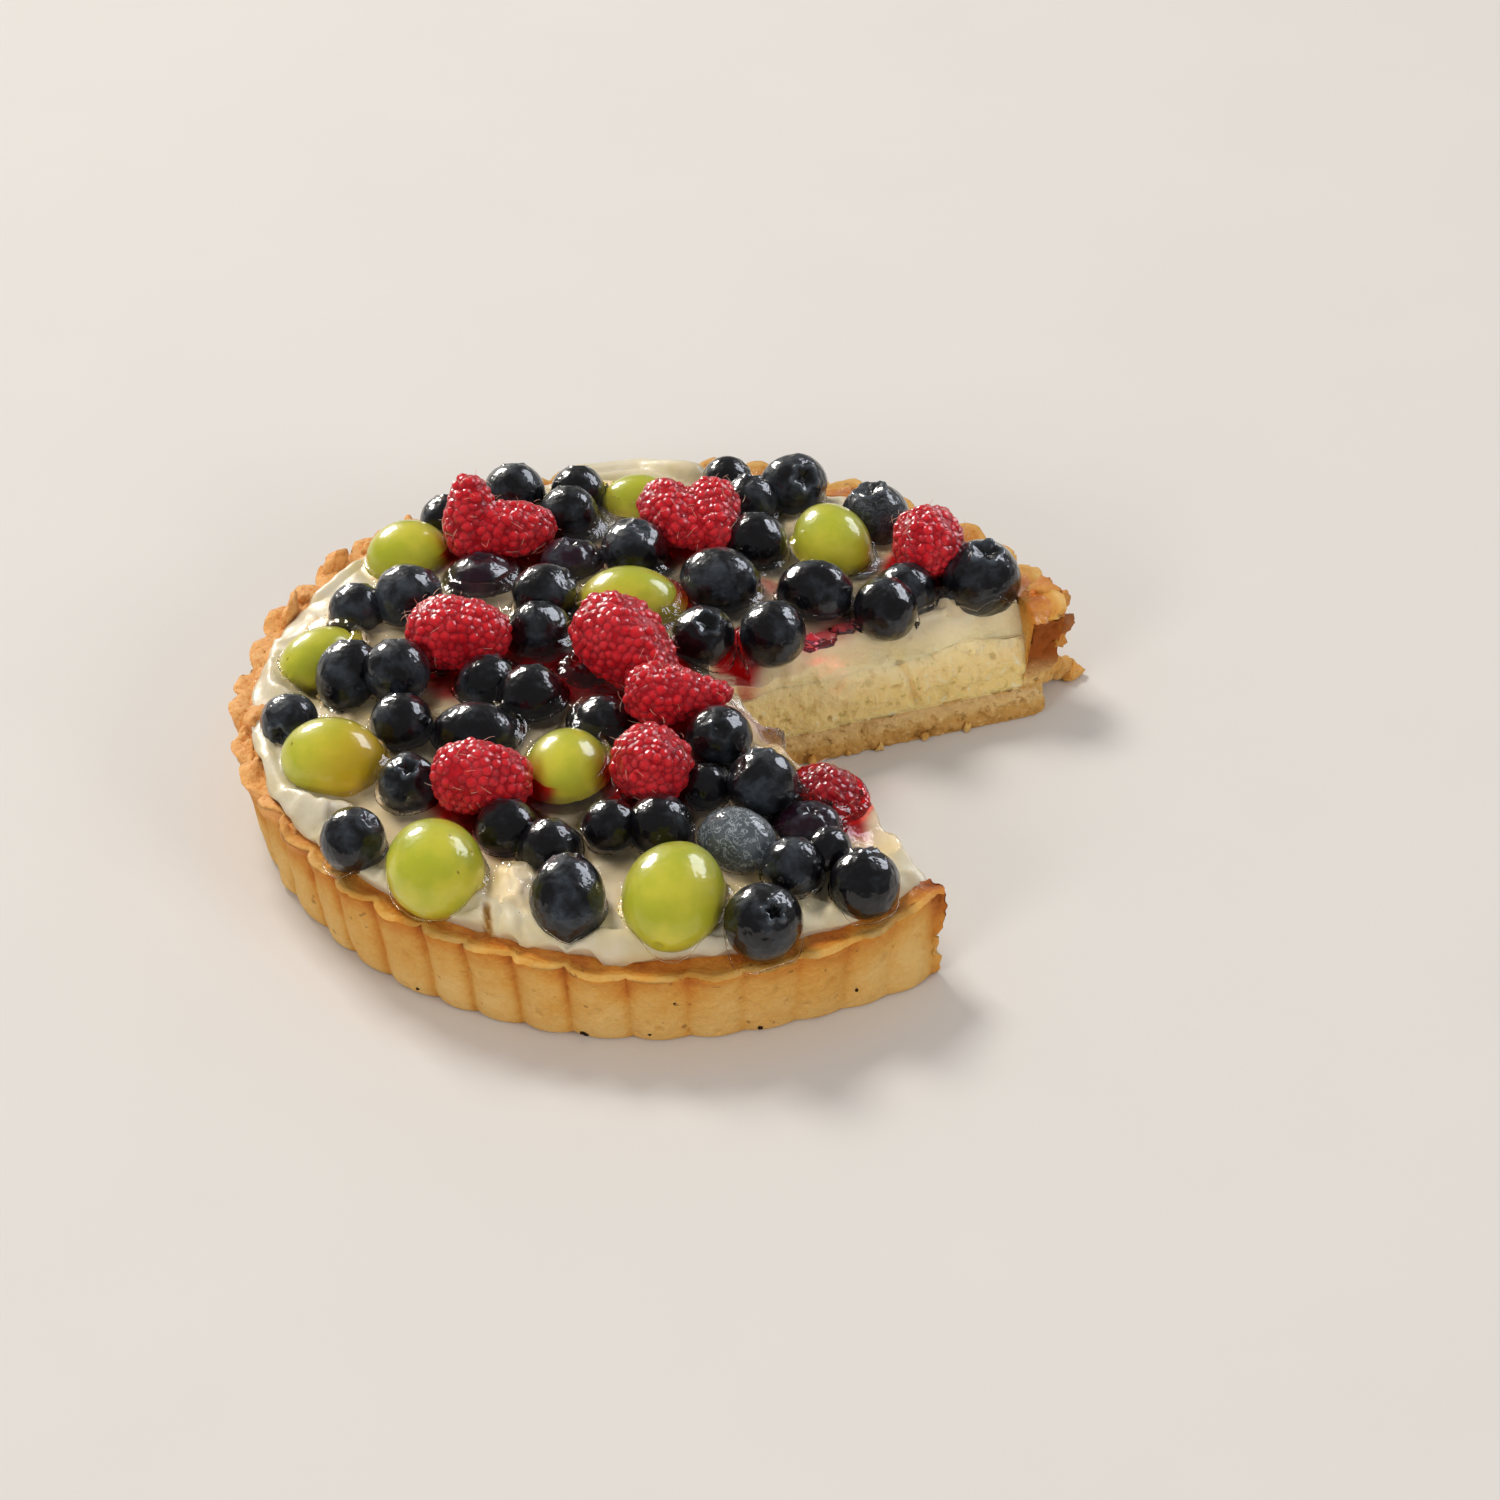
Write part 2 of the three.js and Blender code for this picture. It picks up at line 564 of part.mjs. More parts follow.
function build() {
  const toppings = [];
  for (const [kind, rows] of Object.entries({ blueberry: blueberries, grape: grapes, raspberry: raspberries })) {
    for (const [name, row] of Object.entries(rows)) {
      toppings.push(readTopping(name, kind, row));
    }
  }
  settle(toppings);

  // A topping that still presses on one listed before it gives way to it
  const solids = new Map();
  for (const topping of toppings) {
    let solid = toppingSolid(topping);
    for (const [other, otherSolid] of solids) {
      if (other.name !== topping.joins && otherSolid.grown.intersect(solid).volume() > 0) {
        solid = solid.subtract(otherSolid.grown);
      }
    }
    solids.set(topping, { solid, grown: toppingSolid(topping, layerGap) });
  }

  const layers = {
    crust: crustSolid(),
    custard: custardForm(0, 0).subtract(wedge(cuts.custard)),
    cream: creamSolid(),
  };
  for (const { grown } of solids.values()) {
    for (const name of Object.keys(layers)) {
      layers[name] = layers[name].subtract(grown);
    }
  }
  layers.cream = layers.cream.simplify(smallestDetail);

  const tart = new THREE.Group();
  tart.name = 'berry_tart';
  for (const [name, solid] of Object.entries(layers)) {
    tart.add(meshOf(name, solid, finishes[name]()));
  }
  for (const [topping, { solid }] of solids) {
    if (topping.joins) {
      continue;
    }
    const partner = toppings.find((other) => other.joins === topping.name);
    const whole = partner ? solid.add(solids.get(partner).solid) : solid;
    const label = partner ? `${topping.name.slice(1)}_${partner.name.slice(1)}` : topping.name.slice(1);
    tart.add(meshOf(`${topping.kind}_${label}`, whole, finishes[topping.kind]()));
  }
  return tart;
}

export default build();
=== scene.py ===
import math

import bpy
import numpy as np
from mathutils import Matrix, Vector


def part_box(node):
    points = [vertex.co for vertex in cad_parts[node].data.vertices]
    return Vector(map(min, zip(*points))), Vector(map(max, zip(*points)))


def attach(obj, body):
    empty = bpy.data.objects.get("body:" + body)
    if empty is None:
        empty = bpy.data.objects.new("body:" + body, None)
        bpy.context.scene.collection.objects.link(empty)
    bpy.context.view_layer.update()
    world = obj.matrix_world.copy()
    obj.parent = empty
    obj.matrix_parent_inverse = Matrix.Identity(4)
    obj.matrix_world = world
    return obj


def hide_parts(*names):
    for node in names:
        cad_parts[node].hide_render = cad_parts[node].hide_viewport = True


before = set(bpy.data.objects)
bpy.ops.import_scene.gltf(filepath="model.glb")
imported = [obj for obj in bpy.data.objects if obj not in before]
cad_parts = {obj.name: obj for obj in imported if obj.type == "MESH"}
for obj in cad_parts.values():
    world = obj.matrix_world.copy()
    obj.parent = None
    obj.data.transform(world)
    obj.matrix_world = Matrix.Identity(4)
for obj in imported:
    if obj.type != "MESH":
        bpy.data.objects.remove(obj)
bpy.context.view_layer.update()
mm = 0.001  # lengths below are in millimetres and become metres in makePiece


def colour(hexText):
    # an sRGB hex value as linear red, green, blue and alpha
    channels = [int(hexText[i:i + 2], 16) / 255 for i in (1, 3, 5)]
    return (*[c / 12.92 if c <= 0.04045 else ((c + 0.055) / 1.055) ** 2.4 for c in channels], 1.0)


def addNode(tree, kind, inputs=None, output=0, stops=None, **settings):
    # adds a node with its settings and links, and gives its output socket; colours are written in hex
    node = tree.nodes.new("ShaderNode" + kind)
    for name, value in settings.items():
        setattr(node, name, value)
    for name, value in (inputs or {}).items():
        if isinstance(value, bpy.types.NodeSocket):
            tree.links.new(value, node.inputs[name])
        else:
            node.inputs[name].default_value = colour(value) if isinstance(value, str) else value
    if stops:
        elements = node.color_ramp.elements
        while len(elements) < len(stops):
            elements.new(0.5)
        for element, (place, shade) in zip(elements, stops):
            element.position, element.color = place, colour(shade)
    return node.outputs[output] if len(node.outputs) else node


def newMaterial(name, grains, labels=()):
    # a material and its sockets by name: noises, given by size in millimetres, detail, roughness and
    # distortion, and the labels that its mesh carries
    material = bpy.data.materials.new(name)
    material.use_nodes = True
    tree = material.node_tree
    tree.nodes.clear()
    place = addNode(tree, "TexCoord", output="Object")
    look = {"height": addNode(tree, "SeparateXYZ", {0: place}, "Z")} if "height" in labels else {}
    for grain, (size, detail, rough, distortion) in grains.items():
        look[grain] = addNode(tree, "TexNoise", {"Vector": place, "Scale": 1 / (size * mm), "Detail": detail,
                                                 "Roughness": rough, "Distortion": distortion})
    for label in labels:
        if label != "height":
            look[label] = addNode(tree, "Attribute", output="Fac", attribute_name=label)
    return material, tree, look


def sumOf(tree, start, *terms, clamp=False):
    # start plus each socket times its weight
    for socket, weight in terms:
        inputs = {0: socket, 1: weight, 2: start}
        start = addNode(tree, "Math", inputs, operation="MULTIPLY_ADD", use_clamp=clamp)
    return start


def strengthOf(tree, strength, *places):
    # strength times the share at each place: a socket, or (socket, low, high) for a soft rise between the two
    for place in places:
        if isinstance(place, tuple):
            inputs = dict(zip(("Value", "From Min", "From Max"), place))
            place = addNode(tree, "MapRange", inputs, interpolation_type="SMOOTHSTEP")
        strength = place if strength == 1.0 else sumOf(tree, 0.0, (place, strength))
    return strength


def painted(tree, shade, *coats):
    # lays coats over a shade, each with its colour, its strength and the places where it lies
    for tone, strength, *places in coats:
        inputs = {0: strengthOf(tree, strength, *places), 6: shade, 7: tone}
        shade = addNode(tree, "Mix", inputs, output=2, data_type="RGBA")
    return shade


def finishMaterial(tree, surface, bumps=()):
    # each bump is the socket of its height, its depth in millimetres and the places where it lies
    shader = surface.node
    normal = None
    for height, depth, *places in bumps:
        inputs = {"Height": height, "Distance": strengthOf(tree, depth * mm, *places), "Strength": 1.0}
        if normal is not None:
            inputs["Normal"] = normal
        normal = addNode(tree, "Bump", inputs)
    if normal is not None:
        tree.links.new(normal, shader.inputs["Normal"])
        tree.links.new(normal, shader.inputs["Coat Normal"])
    addNode(tree, "OutputMaterial", {"Surface": surface})


def smoothStep(share):
    t = np.clip(share, 0, 1)
    return t * t * (3 - 2 * t)


def swells(points, size, seed=0):
    # smooth noise between -1 and 1 whose swells are about size millimetres across
    scaled = points / size + 17.31 * seed
    cell = np.floor(scaled).astype(np.int64)
    part = scaled - cell
    part = part ** 3 * (part * (part * 6 - 15) + 10)
    total = np.zeros(len(points))
    for corner in range(8):
        step = np.array([corner & 1, corner >> 1 & 1, corner >> 2 & 1])
        at = cell + step
        code = (at[:, 0] * 73856093) ^ (at[:, 1] * 19349663) ^ (at[:, 2] * 83492791) ^ (seed * 2654435)
        code = (code * 1103515245 + 12345) & 0x7fffffff
        code = (code ^ (code >> 13)) * 1274126177 & 0x7fffffff
        weight = np.prod(np.where(step, part, 1 - part), axis=1)
        total += (code / 0x3fffffff - 1) * weight
    return total


def roughness(points, size, octaves, seed=0):
    # swells with finer and finer ones on them
    return sum(swells(points, size / 2 ** i, seed + i) / 2 ** i for i in range(octaves)) / 1.6


def gridFaces(rows, columns, closed=False):
    # quads over a grid whose points run row by row; rows going out and columns turning left face up
    across = columns if closed else columns - 1
    r, c = np.meshgrid(np.arange(rows - 1), np.arange(across), indexing="ij")
    first = (r * columns + c).ravel()
    second = (r * columns + (c + 1) % columns).ravel()
    return np.c_[first, first + columns, second + columns, second]


def ballPart(rings, count, lowest):
    # a unit ball, from its pole along +Z down to an angle of lowest degrees
    lean = np.linspace(0, math.radians(lowest), rings)
    turn = np.linspace(0, 2 * math.pi, count, endpoint=False)
    leans, turns = (a.ravel() for a in np.meshgrid(lean, turn, indexing="ij"))
    points = np.c_[np.sin(leans) * np.cos(turns), np.sin(leans) * np.sin(turns), np.cos(leans)]
    return points, gridFaces(rings, count, True)


def skinGrid(leans, count, axis):
    # points over an oval's skin, in rows from one end of its axis: how far each leans from the axis, its turn
    # about it, its way square to the axis and its outward direction
    turn = np.linspace(0, 2 * math.pi, count, endpoint=False)
    lean, turns = (a.ravel() for a in np.meshgrid(leans, turn, indexing="ij"))
    side, other = sideways(axis)
    ways = np.sin(lean)[:, None] * (np.cos(turns)[:, None] * side + np.sin(turns)[:, None] * other)
    return lean, turns, ways, ways + np.cos(lean)[:, None] * axis


def makePiece(name, points, faces, material, attributes=None, replaced=()):
    # a smooth mesh on the tart's body, its attributes as labels that the material reads
    mesh = bpy.data.meshes.new(name)
    mesh.from_pydata((np.asarray(points) * mm).tolist(), [], [list(face) for face in faces])
    for label, values in (attributes or {}).items():
        mesh.attributes.new(label, "FLOAT", "POINT").data.foreach_set("value", np.asarray(values, np.float32))
    mesh.validate()
    mesh.polygons.foreach_set("use_smooth", np.ones(len(mesh.polygons), bool))
    mesh.materials.append(material)
    piece = bpy.data.objects.new(name, mesh)
    bpy.context.scene.collection.objects.link(piece)
    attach(piece, "root")
    if replaced:
        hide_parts(*replaced)
    return piece


def joinParts(parts):
    # several (points, faces, attributes) as one
    points, faces, attributes, start = [], [], {}, 0
    for partPoints, partFaces, partAttributes in parts:
        points.append(partPoints)
        faces.extend([[i + start for i in face] for face in np.asarray(partFaces).tolist()])
        for label, values in partAttributes.items():
            attributes.setdefault(label, []).append(values)
        start += len(partPoints)
    return np.vstack(points), faces, {label: np.concatenate(values) for label, values in attributes.items()}


def welded(points, faces, attributes):
    # points that lie together become one, so that a surface runs smoothly over the edge
    _, first, where = np.unique(np.round(points, 2), axis=0, return_index=True, return_inverse=True)
    where = where.ravel()
    corners = [list(dict.fromkeys(where[face].tolist())) for face in np.asarray(faces)]
    kept = [face for face in corners if len(face) > 2]
    return points[first], kept, {label: values[first] for label, values in attributes.items()}


# found by laying the part over the photo: millimetres and degrees
cameraView = {"focal": 86.4, "sensor": 36.0, "elevation": 37.5, "roll": -0.6,
              "distance": 848.0, "target": (20.4, 9.4, 0.0)}


def setCamera():
    rise = math.radians(cameraView["elevation"])
    roll = math.radians(cameraView["roll"])
    back = Vector((0, -math.cos(rise), math.sin(rise)))
    right = Vector((1, 0, 0))
    up = Vector((0, math.sin(rise), math.cos(rise)))
    tiltedRight = right * math.cos(roll) + up * math.sin(roll)
    tiltedUp = up * math.cos(roll) - right * math.sin(roll)
    place = (Vector(cameraView["target"]) + back * cameraView["distance"]) * mm
    data = bpy.data.cameras.new("camera")
    data.lens, data.sensor_width = cameraView["focal"], cameraView["sensor"]
    camera = bpy.data.objects.new("camera", data)
    turned = Matrix((tiltedRight, tiltedUp, back)).transposed().to_4x4()
    camera.matrix_world = Matrix.Translation(place) @ turned
    bpy.context.scene.collection.objects.link(camera)
    bpy.context.scene.camera = camera


# each lamp stands at a direction (degrees round from +X, degrees up) and looks at the tart;
# the windows give the highlights, the others the light on matt surfaces
lamps = {
    "windowLeft": {"round": 130, "up": 24, "away": 1200, "size": (160, 360),
                   "watts": 9.6, "matt": False, "tint": "#fffaf2"},
    "windowBehind": {"round": 118, "up": 24, "away": 1200, "size": (160, 360),
                     "watts": 9.6, "matt": False, "tint": "#fffaf2"},
    "windowRight": {"round": 38, "up": 34, "away": 900, "size": (560, 400),
                    "watts": 6.0, "matt": False, "tint": "#eef3ff"},
    "keyBehind": {"round": 128, "up": 56, "away": 2400, "size": (760, 760),
                  "watts": 32.0, "matt": True, "tint": "#fff9f0"},
    "fillLeft": {"round": -126, "up": 26, "away": 2600, "size": (800, 700),
                 "watts": 15.0, "matt": True, "tint": "#fffaf5"},
    "fillRight": {"round": -42, "up": 26, "away": 2600, "size": (800, 700),
                  "watts": 13.0, "matt": True, "tint": "#fffaf5"},
}
surround = {"tint": "#fafaf9", "strength": 0.46, "reflected": 0.2}  # glossy things mirror a darker room


def setLight():
    for name, lamp in lamps.items():
        data = bpy.data.lights.new(name, "AREA")
        data.shape, data.size, data.size_y = "RECTANGLE", lamp["size"][0] * mm, lamp["size"][1] * mm
        data.energy, data.color = lamp["watts"], colour(lamp["tint"])[:3]
        lampObject = bpy.data.objects.new(name, data)
        turn, rise = math.radians(lamp["round"]), math.radians(lamp["up"])
        away = Vector((math.cos(turn) * math.cos(rise), math.sin(turn) * math.cos(rise), math.sin(rise)))
        lampObject.location = away * lamp["away"] * mm
        lampObject.visible_diffuse = lampObject.visible_transmission = lamp["matt"]
        lampObject.visible_glossy = not lamp["matt"]
        lampObject.rotation_mode = "QUATERNION"
        lampObject.rotation_quaternion = away.to_track_quat("Z", "Y")
        bpy.context.scene.collection.objects.link(lampObject)
    world = bpy.data.worlds.new("surround")
    world.use_nodes = True
    background = world.node_tree.nodes["Background"]
    background.inputs["Color"].default_value = colour(surround["tint"])
    mirrored = addNode(world.node_tree, "LightPath", output="Is Glossy Ray")
    darker = surround["reflected"] - surround["strength"]
    dimmer = sumOf(world.node_tree, surround["strength"], (mirrored, darker))
    world.node_tree.links.new(dimmer, background.inputs["Strength"])
    bpy.context.scene.world = world
    bpy.context.scene.view_settings.view_transform = "Standard"
    print("light:", len(lamps), "lamps")


floorLook = {"half": 2500.0, "below": 0.2, "tint": "#dcd9d6", "warmer": "#e0ddda",
             "grains": {"fibre": (60, 3, 0.55, 0)}}


def makeFloor():
    # pale matt paper: even, warm, without shine
    material, tree, look = newMaterial("palePaper", floorLook["grains"])
    shade = painted(tree, floorLook["tint"], (floorLook["warmer"], 1.0, look["fibre"]))
    finishMaterial(tree, addNode(tree, "BsdfPrincipled", {"Base Color": shade, "Roughness": 0.9, "IOR": 1.5,
                                                         "Specular IOR Level": 0.0}))
    half, low = floorLook["half"], -floorLook["below"]
    mesh = bpy.data.meshes.new("floor")
    corners = [(-half, -half, low), (half, -half, low), (half, half, low), (-half, half, low)]
    mesh.from_pydata([[c * mm for c in corner] for corner in corners], [], [[0, 1, 2, 3]])
    mesh.materials.append(material)
    floor = bpy.data.objects.new("floor", mesh)
    bpy.context.scene.collection.objects.link(floor)
    print("floor: one sheet of paper")


def nodePoints(name):
    # the corners of a solid from the frame, each once, in millimetres
    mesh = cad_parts[name].data
    points = np.empty(len(mesh.vertices) * 3, np.float32)
    mesh.vertices.foreach_get("co", points)
    return np.unique(np.round(points.reshape(-1, 3).astype(float) / mm, 3), axis=0)


def sphereThrough(points):
    # best sphere through points, leaving out the ones that lie off it
    kept = points
    for _ in range(6):
        answer = np.linalg.lstsq(np.c_[2 * kept, np.ones(len(kept))], (kept ** 2).sum(1), rcond=None)[0]
        centre = answer[:3]
        radius = math.sqrt(answer[3] + centre @ centre)
        off = np.abs(np.linalg.norm(points - centre, axis=1) - radius)
        kept = points[off < max(0.03 * radius, np.quantile(off, 0.6))]
    return centre, radius


def ovalThrough(points):
    # best ellipsoid through points: its centre and the matrix whose form is 1 on it
    kept = points
    for _ in range(6):
        x, y, z = (kept - points.mean(0)).T
        columns = np.c_[x * x, y * y, z * z, 2 * x * y, 2 * x * z, 2 * y * z, x, y, z]
        a = np.linalg.lstsq(columns, np.ones(len(kept)), rcond=None)[0]
        form = np.array([[a[0], a[3], a[4]], [a[3], a[1], a[5]], [a[4], a[5], a[2]]])
        middle = -np.linalg.solve(form, a[6:]) / 2
        form = form / (1 + middle @ form @ middle)
        centre = middle + points.mean(0)
        off = np.abs(np.sqrt(np.einsum("ij,jk,ik->i", points - centre, form, points - centre)) - 1)
        kept = points[off < max(0.04, np.quantile(off, 0.6))]
    return centre, form


def crownOf(points, centre, reach):
    # the crown's dimple is the one point well inside the berry's skin
    share = np.linalg.norm(points - centre, axis=1) / reach
    dimple = points[np.argmin(np.abs(share - 0.76))]
    if abs(np.linalg.norm(dimple - centre) / reach - 0.76) > 0.04:
        return np.array([0, 0.57, 0.82])
    return (dimple - centre) / np.linalg.norm(dimple - centre)


def readBerries(name):
    # [centre, crown direction, half length along it, half width] of each blueberry in a node
    points = nodePoints(name)
    if name.count("_") == 1:
        centre, form = ovalThrough(points)
        offsets = points - centre
        share = np.sqrt(np.einsum("ij,jk,ik->i", offsets, form, offsets))
        crown = offsets[np.argmin(share)] / np.linalg.norm(offsets[np.argmin(share)])
        along = 1 / math.sqrt(crown @ form @ crown)
        across = math.sqrt(2 / (np.trace(form) - crown @ form @ crown))
        return [(centre, crown, along, across)]
    apart = np.linalg.norm(points[:, None] - points[None], axis=2)
    i, j = np.unravel_index(np.argmax(apart), apart.shape)
    middles = [points[i] * 0.72 + points[j] * 0.28, points[j] * 0.72 + points[i] * 0.28]
    radii = [7.0, 7.0]
    for _ in range(12):
        off = np.array([np.abs(np.linalg.norm(points - m, axis=1) - r) for m, r in zip(middles, radii)])
        owner = np.argmin(off, axis=0)
        found = [sphereThrough(points[owner == k]) for k in (0, 1)]
        middles, radii = [f[0] for f in found], [f[1] for f in found]
    return [(m, crownOf(points, m, r), r, r) for m, r in zip(middles, radii)]


def readGrape(name):
    centre, form = ovalThrough(nodePoints(name))
    sizes, axes = np.linalg.eigh(form)
    return centre, axes[:, 0], 1 / math.sqrt(sizes[0]), math.sqrt(2 / (sizes[1] + sizes[2]))


def sideways(axis):
    # two directions square to an axis
    helper = np.array([0, 0, 1.0]) if abs(axis[2]) < 0.9 else np.array([1.0, 0, 0])
    first = np.cross(axis, helper)
    first /= np.linalg.norm(first)
    return first, np.cross(axis, first)


def aim(around, up):
    around, up = math.radians(around), math.radians(up)
    return np.array([math.cos(around) * math.cos(up), math.sin(around) * math.cos(up), math.sin(up)])


raspberryLook = {
    # lobes as in the solids: length, width, axis (degrees round, degrees up), taper, offset of a second lobe
    "lobes": {
        "raspberry_01": [dict(length=26, width=15.5, axis=(5, 3), taper=0.25),
                         dict(length=19, width=15, axis=(100, 62), taper=0.5, offset=(-6.5, 1.5, 4))],
        "raspberry_02": [dict(length=20, width=14, axis=(-68, -10), taper=0.45),
                         dict(length=20, width=14.4, axis=(-80, -10), taper=0.5, offset=(10.6, -1, 0.5)),
                         dict(length=17, width=12, axis=(-74, -12), taper=0.4, offset=(5.3, -1.2, -0.6))],
        "raspberry_03": [dict(length=17.5, width=18.2, axis=(100, 35), taper=0.2)],
        "raspberry_04": [dict(length=23.6, width=18.2, axis=(-4, 0), taper=0.25)],
        "raspberry_05": [dict(length=28, width=20.5, axis=(-44, -16), taper=0.35)],
        "raspberry_06": [dict(length=24.6, width=16, axis=(-6, 3), taper=0.9)],
        "raspberry_07": [dict(length=17, width=18, axis=(-70, 20), taper=0.15)],
        "raspberry_08": [dict(length=22.6, width=17.5, axis=(-6, 0), taper=0.3)],
        "raspberry_09": [dict(length=21, width=16.5, axis=(-62, -32), taper=0.25)],
    },
    "apart": 2.32, "round": 0.88, "rise": 0.12,  # the drupelets' spacing, size and how far they stand out
    "hairs": {"each": 24, "long": (1.6, 3.2), "thick": 0.08},  # the dried styles
    "dark": {"raspberry_09": 0.6},
    "tones": {"between": "#b8141e", "tip": "#d4222d", "darker": "#ab0f1c", "brighter": "#e23840",
              "deep": "#6a0a16", "hair": "#e0a08c", "sheen": "#ffb9b9"},
    # size in millimetres, detail, roughness and distortion of each grain
    "grains": {"patch": (8, 3, 0.55, 0), "wetPatch": (3.5, 2, 0.55, 0), "skin": (1.3, 2, 0.55, 0),
               "fine": (0.5, 2, 0.55, 0)},
}


def lobeWidth(share, taper):
    # half width of a lobe at a height of -1 to 1 along its axis, as a share of its greatest
    turn = np.arccos(np.clip(-share, -1, 1))
    narrowing = 1 - taper * 0.62 * smoothStep((0.5 - 0.5 * np.cos(turn)) * 1.15 - 0.15)
    return np.sin(turn) ** 0.75 * narrowing


def readRaspberry(name):
    # the lobes with their centres, found by laying the lobes' own box over the node's
    corners = []
    for lobe in raspberryLook["lobes"][name]:
        lobe["direction"] = aim(*lobe["axis"])
        first, second = sideways(lobe["direction"])
        for share in np.linspace(-1, 1, 25):
            for turn in np.linspace(0, 2 * math.pi, 24, endpoint=False):
                out = (math.cos(turn) * first + math.sin(turn) * second) * lobeWidth(share, lobe["taper"])
                offset = np.array(lobe.get("offset", (0, 0, 0)))
                along = lobe["direction"] * share * lobe["length"] / 2
                corners.append(offset + along + out * lobe["width"] / 2)
    corners = np.array(corners)
    low, high = (np.array(corner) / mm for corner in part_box(name))
    middle = (low + high) / 2 - (corners.min(0) + corners.max(0)) / 2
    for lobe in raspberryLook["lobes"][name]:
        lobe["centre"] = middle + np.array(lobe.get("offset", (0, 0, 0)))
    return raspberryLook["lobes"][name]


nodeNames = sorted(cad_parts)
berries = {name: readBerries(name) for name in nodeNames if name.startswith("blueberry")}
grapes = {name: readGrape(name) for name in nodeNames if name.startswith("grape")}
raspberries = {name: readRaspberry(name) for name in nodeNames if name.startswith("raspberry")}
print("read", len(berries), "blueberry nodes,", len(grapes), "grapes and", len(raspberries), "raspberries")

# every fruit as (centre, axis, half length, half width), for what lies round it
fruits = [fruit for found in berries.values() for fruit in found] + list(grapes.values())
redFruits = [(lobe["centre"], lobe["direction"], lobe["length"] / 2, lobe["width"] / 2)
             for lobes in raspberries.values() for lobe in lobes]


def awayFrom(points, group):
    # distance in millimetres from each point to the nearest skin of a group of fruit
    best = np.full(len(points), 1e9)
    for centre, axis, along, across in group:
        offset = points - centre
        reach = np.linalg.norm(offset, axis=1) + 1e-6
        share = (offset @ axis / reach) ** 2
        skin = 1 / np.sqrt(share / along ** 2 + (1 - share) / across ** 2)
        best = np.minimum(best, reach - skin)
    return best


# the tart in plan: columns run out from the point where the two cuts meet; their directions in degrees
plan = {"tip": (12.0, -3.0), "farCut": 18.4, "nearCut": 305.6}
tip = np.array(plan["tip"])


def outTo(radius, turns):
    # points out from the tip, at the angles turns, on a circle round the tart's own centre
    ways = np.c_[np.cos(turns), np.sin(turns)]
    along = ways @ tip
    reach = -along + np.sqrt(np.asarray(radius) ** 2 - tip @ tip + along ** 2)
    return tip + ways * reach[:, None]


def planTurns(count):
    return np.radians(np.linspace(plan["farCut"], plan["nearCut"], count))


def behindCuts(points):
    # how far points lie behind each cut face, and each face's outward direction
    found = []
    for turn, side in ((plan["farCut"], 1), (plan["nearCut"], -1)):
        turn = math.radians(turn)
        inward = side * np.array([-math.sin(turn), math.cos(turn), 0])
        offset = points - np.array([*tip, 0])
        found.append((offset @ inward, -inward, offset @ np.array([math.cos(turn), math.sin(turn), 0])))
    return found


def tear(points, depth, size, seed, octaves=4, calmFoot=False):
    # roughens the cut faces, and what lies up to 3 mm behind them
    moved = points.copy()
    for behind, outward, along in behindCuts(points):
        share = np.clip(1 - np.abs(behind) / 3.0, 0, 1) * smoothStep((along + 2) / 4)
        flat = np.c_[along, points[:, 2] * 1.15, np.full(len(points), seed * 9.0 + outward[0] * 5)]
        relief = roughness(flat, size, octaves, seed)
        if calmFoot:  # the fillings' foot follows the base
            relief = relief * (0.3 + 0.7 * smoothStep((points[:, 2] - 9) / 5))
        moved += outward * (share * relief * depth)[:, None]
    return moved


